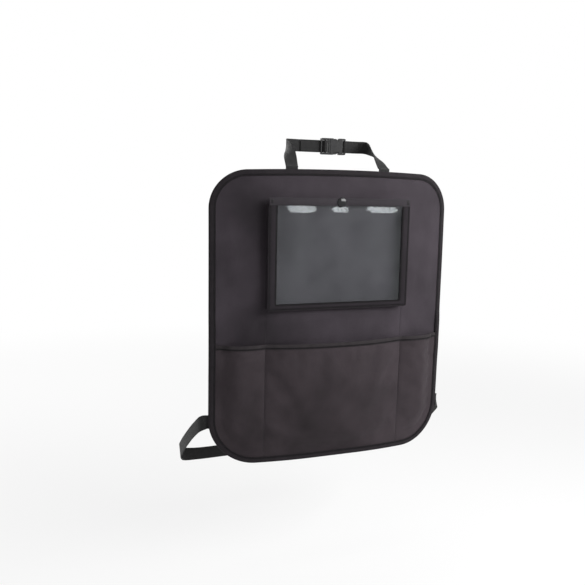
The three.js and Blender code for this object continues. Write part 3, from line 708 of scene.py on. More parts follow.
def tape_look(name, colour):
    """Ribbed tape: ribs run across it, and its length is the second coordinate."""
    look = Look(name)
    vector, across, along = look.flat_places()
    ribs = look.calc("ABSOLUTE", look.wave(along, RIB_PITCH))
    threads = weave(look, across, along, RIB_PITCH * 0.6)
    worn = look.mottle(vector, TAPE_WORN)
    fibres = look.mottle(vector, TAPE_FIBRE)
    shade = sum_of(look, 0.45, [(worn, 0.7), (fibres, 0.45), (ribs, 0.45)])
    height = look.calc("MULTIPLY_ADD", fibres, 0.4, look.calc("MULTIPLY_ADD", threads, 0.4, ribs))
    return look.finish(
        Base_Color=look.dyed(colour, shade, dark=0.6, light=1.7),
        Roughness=sum_of(look, 0.66, [(fibres, 0.2), (ribs, -0.12)]),
        Normal=look.bump(height, depth=0.15, strength=0.6),
        Sheen_Weight=0.02,
        Sheen_Roughness=0.4,
        Specular_IOR_Level=0.07,
    )


def webbing_look(name, colour):
    """Herringbone webbing: its length is the second coordinate."""
    look = Look(name)
    vector, across, along = look.flat_places()
    slanted = look.calc("ADD", along, look.calc("PINGPONG", across, TWILL_FOLD * MM))
    twill = look.calc("ABSOLUTE", look.wave(slanted, TWILL_PITCH))
    rows = look.calc("ABSOLUTE", look.wave(across, TWILL_ROWS))
    worn = look.mottle(vector, WEBBING_WORN)
    fibres = look.mottle(vector, WEBBING_FIBRE)
    shade = sum_of(look, 0.45, [(worn, 0.6), (fibres, 0.4), (twill, 0.55)])
    height = look.calc("MULTIPLY_ADD", fibres, 0.3, look.calc("MULTIPLY_ADD", rows, 0.35, twill))
    return look.finish(
        Base_Color=look.dyed(colour, shade, dark=0.55, light=1.8),
        Roughness=sum_of(look, 0.6, [(fibres, 0.2), (twill, -0.15)]),
        Normal=look.bump(height, depth=0.22, strength=0.75),
        Sheen_Weight=0.05,
        Specular_IOR_Level=0.15,
    )


def thread_look(name, colour):
    """Twisted thread."""
    look = Look(name)
    vector, across, along = look.flat_places()
    twist = look.calc("ABSOLUTE", look.wave(look.calc("ADD", along, across), THREAD_TWIST))
    fibres = look.mottle(vector, THREAD_FIBRE)
    shade = sum_of(look, 0.5, [(twist, 0.7), (fibres, 0.5)])
    return look.finish(
        Base_Color=look.dyed(colour, shade, dark=0.55, light=1.6),
        Roughness=sum_of(look, 0.5, [(fibres, 0.2)]),
        Normal=look.bump(twist, depth=0.08, strength=0.6),
        Sheen_Weight=0.05,
        Specular_IOR_Level=0.2,
    )


def resin_look(name, colour, rough, grain, gloss):
    """Moulded resin with fine grain and scuffs."""
    look = Look(name)
    vector = look.place("Object")
    cloudy = look.mottle(vector, RESIN_CLOUD)
    speck = look.mottle(vector, RESIN_SPECK)
    scuff = look.mottle(look.stretched(vector, (1, 0.2, 4)), RESIN_SCUFF)
    shade = sum_of(look, 0.4, [(cloudy, 0.5), (scuff, 0.7)])
    return look.finish(
        Base_Color=look.dyed(colour, shade, dark=0.8, light=1.6),
        Roughness=sum_of(look, rough, [(cloudy, 0.12), (scuff, 0.25), (speck, 0.08)]),
        Normal=look.bump(speck, depth=grain, strength=0.5),
        Specular_IOR_Level=gloss,
    )


def film_look(name):
    """Clear film: mostly see-through, with a mirror share that grows at a slant and a light haze."""
    look = Look(name)
    vector = look.place("Object")
    haze = look.mottle(vector, FILM_HAZE)
    scuff = look.mottle(look.stretched(vector, (0.3, 1, 2)), FILM_SCUFF, 4)
    waves = look.mottle(look.stretched(vector, (0.35, 1, 1)), FILM_WAVE, 1)
    streaks = look.mottle(look.stretched(vector, (1, 1, 0.35), (0, 0.5, 0)), FILM_STREAK, 1)
    normal = look.bump(waves, depth=1.0, strength=0.3)
    look.finish(
        Base_Color=FILM_COLOUR,
        Metallic=1.0,
        Roughness=sum_of(look, 0.13, [(haze, 0.08), (scuff, 0.03)]),
        Normal=normal,
    )
    clear = look.node("ShaderNodeBsdfTransparent", {"Color": FILM_CLEAR})
    dust = look.node("ShaderNodeBsdfDiffuse", {"Color": DUST_COLOUR})
    body = look.mix_shader(sum_of(look, 0.012, [(haze, 0.03), (scuff, 0.006)]), clear, dust)
    slant = look.node("ShaderNodeFresnel", {"IOR": 1.5, "Normal": normal})
    mirror = look.calc("MULTIPLY", slant.outputs[0], look.calc("MULTIPLY_ADD", streaks, 1.0, 0.45))
    inner = look.node("ShaderNodeNewGeometry").outputs["Backfacing"]
    mirror = look.calc("MULTIPLY", mirror, look.calc("SUBTRACT", 1.0, inner))
    look.cover(look.mix_shader(mirror, body, look.shader))
    return look.material


panel_cloth = cloth_look("panel_cloth", PANEL_COLOUR, CLOTH_PITCH, rough=0.7, sheen=0.07, painted_shade_spots=PANEL_PAINTED_SHADE)
pocket_cloth = cloth_look(
    "pocket_cloth", POCKET_COLOUR, CLOTH_PITCH, rough=0.68, sheen=0.07, painted_shade_spots=POCKET_PAINTED_SHADE
)
frame_cloth = cloth_look("frame_cloth", FRAME_COLOUR, FRAME_PITCH, rough=0.66, sheen=0.05)
lining_cloth = cloth_look("lining_cloth", LINING_COLOUR, LINING_PITCH, rough=0.82, sheen=0.1)
binding_tape = tape_look("binding_tape", TAPE_COLOUR)
hem_tape = tape_look("hem_tape", HEM_COLOUR)
# Dark tape for strips of painted shade in the seam grooves and along the clear pocket's inner edge
painted_seam_shade = tape_look("painted_seam_shade", SEAM_SHADE_COLOUR)
band_tape = cloth_look("band_tape", BAND_COLOUR, FRAME_PITCH, rough=0.66, sheen=0.06)
strap_webbing = webbing_look("webbing", WEBBING_COLOUR)
thread = thread_look("thread", THREAD_COLOUR)
buckle_resin = resin_look("buckle_resin", BUCKLE_COLOUR, rough=0.5, grain=0.05, gloss=0.22)
snap_resin = resin_look("snap_resin", SNAP_COLOUR, rough=0.12, grain=0.01, gloss=0.36)
clear_film = film_look("clear_film")


# Meshes


def add_object(name, data):
    piece = bpy.data.objects.new(name, data)
    bpy.context.scene.collection.objects.link(piece)
    return piece


def add_mesh(name, points, faces):
    """A new object from points in millimetres."""
    mesh = bpy.data.meshes.new(name)
    mesh.from_pydata((np.asarray(points, float).reshape(-1, 3) * MM).tolist(), [], faces)
    return add_object(name, mesh)


def make_piece(
    name, points, faces, looks, spots=None, looks_at=None, replaces=(), sharp=SHARP_CLOTH
):
    """Points in millimetres, and one texture place per face corner in millimetres."""
    piece = add_mesh(name, points, faces)
    mesh = piece.data
    for look in looks if isinstance(looks, list) else [looks]:
        mesh.materials.append(look)
    if spots is not None:
        layer = mesh.uv_layers.new(name="Weave")
        layer.data.foreach_set("uv", (np.concatenate(spots).reshape(-1) * MM).astype(np.float32))
    if looks_at is not None:
        mesh.polygons.foreach_set("material_index", looks_at)
    mesh.polygons.foreach_set("use_smooth", [True] * len(mesh.polygons))
    mesh.set_sharp_from_angle(angle=math.radians(sharp))
    mesh.update()
    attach(piece, "root")
    if replaces:
        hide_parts(*replaces)
    return piece


def as_faces(quads):
    return [list(map(int, quad)) for quad in quads]


def grid_quads(rows, columns, start=0, turned=False):
    index = start + np.arange(rows * columns).reshape(rows, columns)
    quads = joined(index[:-1, :-1], index[1:, :-1], index[1:, 1:], index[:-1, 1:]).reshape(-1, 4)
    return quads[:, ::-1] if turned else quads


def sheet_piece(name, front, rear, flat, look, replaces, lining=None):
    """A cloth sheet from grids of front and rear points. Its texture places are the flat cut's."""
    columns, rows = front.shape[:2]
    points = np.concatenate([front.reshape(-1, 3), rear.reshape(-1, 3)])
    places = np.concatenate([flat.reshape(-1, 2), flat.reshape(-1, 2)])
    size = columns * rows
    index = np.arange(size).reshape(columns, rows)
    border = np.concatenate([index[:-1, 0], index[-1, :-1], index[:0:-1, -1], index[0, :0:-1]])
    after = np.roll(border, -1)
    rim = joined(border, after, after + size, border + size)
    ahead = grid_quads(columns, rows, 0, turned=True)
    behind = grid_quads(columns, rows, size)
    quads = np.concatenate([ahead, behind, rim])
    looks_at = np.repeat([0, 1, 0], [len(ahead), len(behind), len(rim)]) if lining else None
    return make_piece(
        name, points, as_faces(quads), [look, lining] if lining else look,
        [places[quads].reshape(-1, 2)], looks_at=looks_at, replaces=replaces,
    )


def loft(rings, closed=False):
    """A skin over rings of points. Places: round the ring, then along the path."""
    count, size = rings.shape[:2]
    wrapped = np.concatenate([rings, rings[:1]]) if closed else rings
    along = run_along(wrapped.mean(axis=1))
    around = run_along(np.concatenate([rings[0], rings[0][:1]]))
    faces = []
    spots = []
    for i in range(count if closed else count - 1):
        here = i * size
        ahead = ((i + 1) % count) * size
        near, far = along[i], along[i + 1]
        for j in range(size):
            k = (j + 1) % size
            faces.append([here + j, ahead + j, ahead + k, here + k])
            start, end = around[j], around[j + 1]
            spots.append(np.array([(start, near), (start, far), (end, far), (end, near)]))
    if not closed:
        last = (count - 1) * size
        faces.append([size - 1 - j for j in range(size)])
        faces.append([last + j for j in range(size)])
        spots.append(joined(around[size - 1 :: -1], 0.0))
        spots.append(joined(around[:size], along[-1]))
    return rings.reshape(-1, 3), faces, spots


def outward(points, faces, spots):
    """Turns a closed skin's faces outward."""
    points = np.asarray(points)
    volume = 0.0
    for face in faces:
        for i in range(1, len(face) - 1):
            a, b, c = points[face[0]], points[face[i]], points[face[i + 1]]
            volume += float(np.dot(a, np.cross(b, c)))
    if volume >= 0:
        return points, faces, spots
    return points, [face[::-1] for face in faces], [spot[::-1] for spot in spots]


def loft_piece(name, loops, look, closed=False, replaces=(), sharp=SHARP_CLOTH, seams=()):
    """A piece from the lines that its corners follow, with strips of painted shade in the grooves where a
    seam presses it down.
    """
    points, faces, spots = outward(*loft(np.stack(loops, axis=1), closed))
    looks_at = [int(len(face) == 4 and index % len(loops) in seams) for index, face in enumerate(faces)]
    return make_piece(
        name, points, faces, [look, painted_seam_shade], spots,
        looks_at=looks_at, replaces=replaces, sharp=sharp,
    )


def stitches(path, out, pitch=STITCH_PITCH, length=STITCH_LENGTH, radius=THREAD_RADIUS):
    """Thread along a path: short raised lengths whose ends go into the cloth."""
    path = np.asarray(path, float)
    along = run_along(path)
    count = max(1, int(along[-1] // pitch))
    middles = (np.arange(count) + 0.5) * along[-1] / count
    places = middles[:, None] + STITCH_SHARES * length
    centre = between(places, along, path)
    normal = np.broadcast_to(np.asarray(out, float), centre.shape)
    side = unit(np.cross(centre[:, -1:] - centre[:, :1], normal))
    centre = centre + normal * STITCH_LIFTS[:, None]
    angles = np.arange(STITCH_SIDES) * 2 * math.pi / STITCH_SIDES
    ring = np.cos(angles)[:, None] * side[:, :, None, :] + np.sin(angles)[:, None] * normal[:, :, None, :]
    return centre[:, :, None, :] + ring * (STITCH_SIZES * radius)[:, None, None]


def stitch_piece(name, lines):
    """All stitches of several lines as one piece."""
    stacks = np.concatenate(lines)
    count, sections, sides = stacks.shape[:3]
    size = sections * sides
    template = []
    for i in range(sections - 1):
        for j in range(sides):
            k = (j + 1) % sides
            template.append([i * sides + j, i * sides + k, (i + 1) * sides + k, (i + 1) * sides + j])
    spot = np.array([(face % sides, face // sides) for quad in template for face in quad], float)
    spot = spot.reshape(-1, 4, 2) * (2 * THREAD_RADIUS)
    quads = (np.array(template)[None] + size * np.arange(count)[:, None, None]).reshape(-1, 4)
    spots = np.tile(spot, (count, 1, 1))
    cap = np.arange(sides)
    first = size * np.arange(count)[:, None]
    caps = np.concatenate([cap[None] + first, (size - 1 - cap)[None] + first])
    faces = as_faces(quads) + as_faces(caps)
    flat = [spots.reshape(-1, 2), np.zeros((len(caps) * sides, 2))]
    return make_piece(name, stacks.reshape(-1, 3), faces, thread, flat)


# Settling


def settle(x, y, z, held, slack, push):
    """How far each point of a sheet moves when it settles between its seams, in millimetres."""
    start = joined(x, y, z)
    piece = add_mesh("settling", start, as_faces(grid_quads(*start.shape[:2], turned=True)))
    group = piece.vertex_groups.new(name="held")
    for index, weight in enumerate(held.reshape(-1)):
        if weight > 0:
            group.add([index], float(weight), "REPLACE")
    modifier = piece.modifiers.new("cloth", "CLOTH")
    cloth = modifier.settings
    cloth.quality = CLOTH_QUALITY
    cloth.mass = CLOTH_MASS
    cloth.tension_stiffness = CLOTH_STRETCH
    cloth.compression_stiffness = CLOTH_STRETCH
    cloth.shear_stiffness = CLOTH_SHEAR
    cloth.bending_stiffness = CLOTH_BENDING
    cloth.vertex_group_mass = "held"
    cloth.shrink_min = -slack
    cloth.use_pressure = True
    cloth.uniform_pressure_force = push
    cloth.effector_weights.gravity = GRAVITY_SHARE
    modifier.point_cache.frame_start = 1
    modifier.point_cache.frame_end = SETTLE_STEPS
    for step in range(1, SETTLE_STEPS + 1):
        bpy.context.scene.frame_set(step)
    shaped = piece.evaluated_get(bpy.context.evaluated_depsgraph_get())
    ended = np.empty(start.size, dtype=np.float32)
    shaped.data.vertices.foreach_get("co", ended)
    moved = ended.reshape(start.shape).astype(float) / MM - start
    mesh = piece.data
    bpy.data.objects.remove(piece)
    bpy.data.meshes.remove(mesh)
    bpy.context.scene.frame_set(1)
    limit = np.array([SETTLE_SLIDE, SETTLE_CAP, SETTLE_SLIDE])
    return limit * np.tanh(moved / limit) * (1 - held)[..., None]


# Panel


def cloth_columns():
    """Places across the panel that follow its lower corners, with some beside each divider."""
    straight = half_width - BOTTOM_CORNER_RADIUS
    angles = np.linspace(0, math.pi / 2, ARC_STEPS + 1)
    arc = straight + BOTTOM_CORNER_RADIUS * np.sin(angles)
    right = [0]
    for start, end in zip([0, *DIVIDER_COLUMNS], [*DIVIDER_COLUMNS, straight]):
        right.extend(stepped(start, end, CLOTH_STEP)[1:])
    right = np.array([*right, *arc[1:]])
    return np.concatenate([-right[:0:-1], right])


def cloth_grid(x, high, height, step):
    """Rows of places from the panel's lower edge up to a line, as two grids."""
    low = bottom_z(x, 0)
    shares = np.linspace(0, 1, len(stepped(0, height, step)))
    z = low[:, None] + (high - low)[:, None] * shares
    return np.broadcast_to(x[:, None], z.shape), z


def panel_relief(x, z):
    """Soft waves of the panel's face between its seams."""
    free = smooth(panel_inside(x, z) - BINDING_REACH, *PANEL_FROM_BINDING)
    beside = np.maximum(np.abs(x) - TABLET_HALF_WIDTH, 0)
    beyond = np.maximum(np.maximum(TABLET_BOTTOM_Z - z, z - TABLET_TOP_Z), 0)
    off_tablet = smooth(np.hypot(beside, beyond), *PANEL_FROM_TABLET)
    free = free * smooth(z - POCKET_TOP_Z, *PANEL_FROM_POCKET)
    relief = off_tablet * (waved(x, z, PANEL_WAVES) + folded(x, z, PANEL_FOLDS))
    return free * (relief - groove(x, *PANEL_GROOVE) * smooth(TABLET_BOTTOM_Z - z, 0, PANEL_GROOVE_START))


def make_panel():
    x = cloth_columns()
    across, z = cloth_grid(x, top_z(x, 0), PANEL_HEIGHT, CLOTH_STEP)
    front = on_panel(across, z, panel_front + panel_relief(across, z))
    rear = on_panel(across, z, waved(across, z, LINING_WAVES) - LINING_SINK)
    flat = joined(across, z)
    return sheet_piece(
        "cover_panel", front, rear, flat, panel_cloth, ["back_panel"], lining_cloth
    )


def outline_stations():
    """Places round the panel's edge with their outward directions."""
    top, bottom = TOP_CORNER_RADIUS, BOTTOM_CORNER_RADIUS
    corners = [(1, 1, top), (-1, 1, top), (-1, -1, bottom), (1, -1, bottom)]
    arcs = []
    for index, (right, up, radius) in enumerate(corners):
        centre = np.array([right * (half_width - radius), up * (half_height - radius)])
        angles = index * math.pi / 2 + np.linspace(0, math.pi / 2, 2 * ARC_STEPS + 1)
        out = np.array([(math.cos(angle), math.sin(angle)) for angle in angles])
        arcs.append(np.concatenate([centre + radius * out, out], axis=1))
    stations = []
    for index, arc in enumerate(arcs):
        stations.extend(arc)
        here, out = arc[-1, :2], arc[-1, 2:]
        end = arcs[(index + 1) % 4][0, :2]
        for share in stepped(0, 1, TAPE_STEP / lengths(end - here))[1:-1]:
            x, z = here + (end - here) * share
            stations.append((x, float(top_z(x, 0)) if index == 0 else z, *out))
    return np.array(stations)


def binding_held(z):
    """Thickness that the binding folds round."""
    step_end = POCKET_TOP_Z + BINDING_STEP
    pocket_share = smooth(-z, -step_end - POCKET_STEP, -step_end)
    return panel_front + (pocket_front - panel_front) * pocket_share + hem_lift(z, BINDING_STEP)


def make_binding():
    x, z, out_x, out_z = outline_stations().T
    held = binding_held(z)
    wobble = waved(x, z, BINDING_WAVES)

    def at(inward, lift):
        return on_panel(x - out_x * inward, z - out_z * inward, lift)

    top = held + FIT + BINDING_TAPE
    low = -FIT - BINDING_TAPE
    seam = BINDING_REACH - SEAM_INSET
    radius = (top - low) / 2
    centre = (top + low) / 2
    loops = [
        at(BINDING_REACH, low),
        at(seam + BINDING_SEAM_HALF, low - TAPE_RISE),
        at(seam, low + SEAM_GROOVE),
        at(seam - BINDING_SEAM_HALF, low - TAPE_RISE),
        at(BINDING_REACH / 2, low),
    ]
    for angle in np.linspace(-math.pi / 2, math.pi / 2, 2 * FOLD_STEPS + 1):
        reach = (BINDING_FOLD + FIT + BINDING_TAPE) * math.cos(angle)
        loops.append(at(BINDING_FOLD - reach, centre + radius * math.sin(angle)))
    loops += [
        at(BINDING_REACH / 2, top + TAPE_BELLY + wobble),
        at(seam - BINDING_SEAM_HALF, top + TAPE_SWELL + wobble),
        at(seam, top - SEAM_GROOVE),
        at(seam + BINDING_SEAM_HALF, top + SEAM_RISE),
        at(BINDING_REACH + BINDING_LIP, top - BINDING_LIP_DROP),
        at(BINDING_REACH + LIP, top - BINDING_TAPE),
        at(BINDING_REACH / 2, top - BINDING_TAPE),
        at(BINDING_REACH / 2, -FIT),
        at(BINDING_REACH, -FIT),
    ]
    # Strips of painted shade along the binding's front and rear seam grooves
    piece = loft_piece(
        "cover_binding", loops, binding_tape, closed=True,
        replaces=["edge_binding"], sharp=SHARP_TAPE, seams=(1, 2, 2 * FOLD_STEPS + 7, 2 * FOLD_STEPS + 8),
    )
    paths = ((at(seam, top - SEAM_GROOVE), FRONT), (at(seam, low + SEAM_GROOVE), REAR))
    lines = [stitches(np.concatenate([path, path[:1]]), out) for path, out in paths]
    return piece, stitch_piece("binding_stitches", lines)


# Lower pockets


def off_seams(x, z, binding, divider, hem):
    """0 at the pockets' seams and 1 away from them, over the lengths given for each seam."""
    share = smooth(inside_distance(x, z, BOTTOM_CORNER_RADIUS, -1) - BINDING_REACH, *binding)
    share = share * smooth(np.abs(np.abs(x) - DIVIDER_X), *divider)
    return share * smooth(POCKET_TOP_Z - z - HEM_REACH, *hem)


def pocket_relief(x, z):
    """Soft folds of the pocket cloth between its seams."""
    relief = waved(x, z, POCKET_WAVES) + POCKET_RISE + folded(x, z, POCKET_FOLDS)
    return off_seams(x, z, POCKET_FROM_BINDING, POCKET_FROM_DIVIDER, POCKET_FROM_HEM) * relief


def make_pocket():
    high = POCKET_TOP_Z - FIT
    across, z = cloth_grid(cloth_columns(), high, high + half_height, POCKET_ROW)
    inside = inside_distance(across, z, BOTTOM_CORNER_RADIUS, -1)
    eased = smooth(inside - BINDING_REACH, *GAPE_FROM_BINDING)
    least = hem_lift(z, POCKET_STEP / 2)
    lift = np.maximum(least, pocket_gape(across, z) * eased + pocket_relief(across, z))
    dent = groove(across, *POCKET_GROOVE)
    front = on_panel(across, z, pocket_front + lift - dent)
    rear = on_panel(across, z, pocket_rear + lift - dent / 2)
    loose = off_seams(across, z, LOOSE_FROM_BINDING, LOOSE_FROM_DIVIDER, LOOSE_FROM_HEM)
    moved = settle(across, front[..., 1], z, 1 - loose, POCKET_SLACK, POCKET_PUSH)
    moved[..., 1] = np.minimum(moved[..., 1], lift - least)
    flat = joined(across, z)
    return sheet_piece(
        "pocket_cloth", front + moved, rear + moved, flat, pocket_cloth, ["lower_pocket"]
    )


def make_hem():
    end = half_width - BINDING_REACH - FIT
    side = stepped(DIVIDER_X, end, TAPE_STEP)[1:]
    x = np.concatenate([-side[::-1], stepped(-DIVIDER_X, DIVIDER_X, TAPE_STEP), side])
    wobble = waved(x, 0, HEM_WAVES)

    def at(drop, lift):
        z = POCKET_TOP_Z - drop
        return on_panel(x, z + wobble, lift + pocket_gape(x, z))

    back = pocket_rear - FIT
    ahead = pocket_front + FIT
    low = back - HEM_TAPE
    top = ahead + HEM_TAPE
    seam = HEM_REACH - SEAM_INSET
    loops = [at(HEM_REACH, back), at(HEM_REACH, low), at(HEM_REACH / 2, low)]
    for angle in np.linspace(-math.pi / 2, math.pi / 2, FOLD_STEPS + 1):
        reach = (HEM_TAPE + HEM_FOLD) * math.cos(angle)
        loops.append(at(HEM_FOLD - reach, (low + top) / 2 + (top - low) / 2 * math.sin(angle)))
    loops += [
        at(seam - SEAM_HALF, top + TAPE_SWELL),
        at(seam, top - SEAM_GROOVE),
        at(seam + SEAM_EDGE, top + SEAM_RISE),
        at(HEM_REACH + LIP, top - LIP_DROP),
        at(HEM_REACH, ahead),
        at(HEM_REACH / 2, ahead),
        at(HEM_REACH / 2, back),
    ]
    # A strip of painted shade along the hem's seam groove
    piece = loft_piece(
        "pocket_hem", loops, hem_tape, replaces=["lower_pocket_hem"],
        sharp=SHARP_TAPE, seams=(FOLD_STEPS + 4, FOLD_STEPS + 5),
    )
    lines = [stitches(at(seam, top - SEAM_GROOVE), FRONT)]
    return piece, stitch_piece("hem_stitches", lines)


def make_seams():
    """Thread of the pocket dividers and of the panel's upright seams above them."""
    low, high = -half_height + BINDING_REACH, POCKET_TOP_Z - HEM_REACH
    lines = []
    for side in (-1, 1):
        x = side * DIVIDER_X
        z = stepped(high - SEAM_END, low + SEAM_END, TAPE_STEP)
        lift = pocket_front + pocket_gape(x, z) - groove(x, *POCKET_GROOVE)
        lines.append(stitches(on_panel(x, z, lift), FRONT))
        z = stepped(TABLET_BOTTOM_Z - UPRIGHT_SEAM_END, POCKET_TOP_Z + UPRIGHT_SEAM_END, TAPE_STEP)
        lines.append(stitches(on_panel(x, z, panel_front + panel_relief(x, z)), FRONT))
    return stitch_piece("divider_stitches", lines)


# Clear pocket


def u_path(high):
    """Places down the left side, along the bottom and up the right side, with outward directions."""
    middle_x, middle_z = TABLET_HALF_WIDTH - FRAME_CORNER, TABLET_BOTTOM_Z + FRAME_CORNER
    places = [(-TABLET_HALF_WIDTH, z, -1, 0) for z in stepped(high, middle_z, TAPE_STEP)]

    def round_corner(middle, start):
        for angle in np.linspace(start, start + math.pi / 2, CORNER_ANGLES)[1:-1]:
            out = (math.cos(angle), math.sin(angle))
            places.append((middle + FRAME_CORNER * out[0], middle_z + FRAME_CORNER * out[1], *out))

    round_corner(-middle_x, math.pi)
    places.extend((x, TABLET_BOTTOM_Z, 0, -1) for x in stepped(-middle_x, middle_x, TAPE_STEP))
    round_corner(middle_x, 1.5 * math.pi)
    places.extend((TABLET_HALF_WIDTH, z, 1, 0) for z in stepped(middle_z, high, TAPE_STEP))
    return np.array(places).T


def make_frame():
    x, z, _, _ = u_path(TABLET_TOP_Z - BAND_TAPE - FIT)
    near_x = np.clip(x, -window_half, window_half)
    near_z = np.maximum(z, window_low)
    wide = np.hypot(x - near_x, z - near_z)
    swell = FRAME_SWELL + waved(x, z, FRAME_WAVES)

    def at(share, lift):
        across = x + (near_x - x) * share
        up = z + (near_z - z) * share
        return joined(across, -lift, up)

    edge = SEAM_INSET / wide
    loops = [
        at(0, frame_rear),
        at(0, frame_front - FRAME_ROUND),
        at(FRAME_EASE * edge, frame_front + TAPE_RISE),
        at(edge, frame_front - SEAM_GROOVE),
        at(edge + SEAM_HALF / wide, frame_front + TAPE_SWELL),
        at(0.5, frame_front + swell),
        at(1 - edge - SEAM_HALF / wide, frame_front + TAPE_SWELL),
        at(1 - edge, frame_front - SEAM_GROOVE),
        at(1 - FRAME_EASE * edge, frame_front + TAPE_RISE),
        at(1, frame_front - FRAME_ROUND),
        at(1, frame_rear),
    ]
    # Strips of painted shade along the frame's outer seam and at its inner seam by the window
    piece = loft_piece(
        "tablet_frame_cloth", loops, frame_cloth,
        replaces=["tablet_pocket_frame"], sharp=SHARP_TAPE, seams=(2, 3, 6, 7, 8),
    )
    lines = []
    for share in (edge, 1 - edge):
        line = at(share, frame_front - SEAM_GROOVE)
        kept = line[line[:, 2] < band_low - SEAM_END]
        spread = np.concatenate([[True], lengths(np.diff(kept, axis=0)) > SAME_PLACE])
        lines.append(stitches(kept[spread], FRONT))
    seams = stitch_piece("frame_stitches", lines)

    x, z, out_x, out_z = u_path(band_low - FIT)
    loops = []
    for angle in np.linspace(0, 2 * math.pi, PIPING_SIDES + 1)[:-1]:
        reach = PIPING_RADIUS * math.cos(angle) + PIPING_OUT
        lift = frame_rear - FIT + PIPING_RADIUS * math.sin(angle)
        loops.append(joined(x + out_x * reach, -lift, z + out_z * reach))
    piping = loft_piece("tablet_piping", loops, binding_tape)
    return piece, seams, piping


def make_gusset():
    x, z, out_x, out_z = u_path(band_low - FIT)
    front = frame_rear - FIT
    waves = waved(x, z, GUSSET_WAVES)
    shares = np.linspace(0, 1, GUSSET_SHARES)

    def wall(inward, share):
        bulge = (GUSSET_BULGE + waves) * math.sin(math.pi * share)
        x_in = x - out_x * (inward + bulge)
        z_in = z - out_z * (inward + bulge)
        rear_y = seat_bend(x_in, z_in) - pocket_rear
        return joined(x_in, rear_y + (-front - rear_y) * share, z_in)

    loops = [wall(0, share) for share in shares] + [wall(GUSSET_CLOTH, share) for share in shares[::-1]]
    return loft_piece(
        "tablet_gusset_cloth", loops, frame_cloth,
        replaces=["tablet_pocket_gusset"], sharp=SHARP_TAPE,
    )


def make_band():
    x = stepped(-TABLET_HALF_WIDTH, TABLET_HALF_WIDTH, BAND_STEP)
    low = band_low
    top = band_front + BAND_TAPE
    wobble = waved(x, 0, BAND_WAVES)

    def at(z, lift):
        return joined(x, snap_dip(x, z) - lift, z)

    seam = low + SEAM_INSET
    middle = (band_rear + top) / 2
    thick = (top - band_rear) / 2
    fold = TABLET_TOP_Z - thick
    loops = [at(low, band_rear + BAND_TAPE), at(low, band_rear), at((low + TABLET_TOP_Z) / 2, band_rear)]
    for angle in np.linspace(-math.pi / 2, math.pi / 2, 2 * FOLD_STEPS + 1):
        loops.append(at(fold + thick * math.cos(angle), middle + thick * math.sin(angle)))
    loops += [
        at((low + TABLET_TOP_Z) / 2, top + BAND_BELLY + wobble),
        at(seam + SEAM_HALF, top + TAPE_BELLY),
        at(seam, top - SEAM_GROOVE),
        at(seam - SEAM_EDGE, top),
        at(low - LIP, top - LIP_DROP),
        at(low, top - BAND_TAPE),
        at(fold, top - BAND_TAPE),
        at(fold, band_rear + BAND_TAPE),
    ]
    piece = loft_piece(
        "tablet_band_tape", loops, band_tape,
        replaces=["tablet_pocket_band"], sharp=SHARP_TAPE,
    )
    lines = [stitches(at(seam, top - SEAM_GROOVE), FRONT)]
    for side in (-1, 1):
        for step in range(TACK_COUNT):
            across = side * (TABLET_HALF_WIDTH - TACK_MARGIN - TACK_STEP * step)
            upper = (across + side * TACK_LEAN, -top, TABLET_TOP_Z - TACK_HIGH)
            lines.append(stitches([(across, -top, low + TACK_LOW), upper], FRONT, **TACK_STITCH))
    return piece, stitch_piece("band_stitches", lines)


def film_relief(x, z):
    """How far the film stands out: it bellies under the band, but not in the tucks beside the snap."""
    high = band_low + waved(x, 0, FILM_TOP_WAVES)
    near_band = smooth(z - high, *FILM_NEAR_BAND)
    belly = smooth(window_half - np.abs(x), 0, FILM_BELLY_SIDE) * smooth(z - window_low, 0, FILM_BELLY_LOW)
    belly = belly * smooth(high - z, 0, FILM_BELLY_TOP)
    belly = belly * (FILM_LOW_SHARE + (1 - FILM_LOW_SHARE) * near_band)
    tucked = sum(smooth(x, a, b) * (1 - smooth(x, c, d)) for a, b, c, d in FILM_TUCKS)
    waves = sum(waved(x, z * squeeze, [wave]) for squeeze, wave in zip(FILM_SQUEEZES, FILM_WAVES))
    beside_snap = np.exp(-((x / FILM_SNAP_WIDTH) ** 2)) * near_band
    full = FILM_BELLY * (1 - FILM_TUCK_SHARE * tucked * near_band) * (1 - FILM_SNAP_SHARE * beside_snap)
    return belly * (full + waves * (1 - beside_snap))


def make_film():
    film_half = window_half + FILM_OVERLAP
    x = stepped(-film_half, film_half, FILM_STEP)
    z = stepped(window_low - FILM_OVERLAP, TABLET_TOP_Z - BAND_TAPE - FIT - FILM_TOP_CLEAR, FILM_STEP)
    across, up = np.meshgrid(x, z, indexing="ij")
    out = film_relief(across, up) - snap_dip(across, up, FILM_DIP_SPREAD)

    def at(side):
        return joined(across, -film_rear - side * FILM - out, up)

    flat = joined(across, up)
    return sheet_piece("tablet_film", at(1), at(0), flat, clear_film, ["tablet_window"])


# Snap


def turned_piece(name, pairs, lift, replaces):
    """A turned piece from pairs of radius and lift, closed on the axis."""
    angles = np.arange(LATHE_SEGMENTS) * 2 * math.pi / LATHE_SEGMENTS
    rings = []
    for radius, height in pairs:
        y = snap_bend - lift - height
        rings.append(joined(radius * np.cos(angles), y, snap_z + radius * np.sin(angles)))
    points, faces, spots = outward(*loft(np.array(rings)))
    return make_piece(
        name, points, faces, snap_resin, spots, replaces=replaces, sharp=SHARP_SNAP
    )


def rounded(pairs, radius):
    """Rounds the inner corners of a turned profile."""
    pairs = [np.array(pair, float) for pair in pairs]
    done = [pairs[0]]
    for before, here, after in zip(pairs, pairs[1:], pairs[2:]):
        back, ahead = before - here, after - here
        reach = min(radius, lengths([back, ahead]).min() / ROUNDING_SHARE)
        start = here + unit(back) * reach
        end = here + unit(ahead) * reach
        for share in np.linspace(0, 1, ROUNDING_STEPS + 1):
            done.append((1 - share) ** 2 * start + 2 * share * (1 - share) * here + share**2 * end)
    done.append(pairs[-1])
    return done


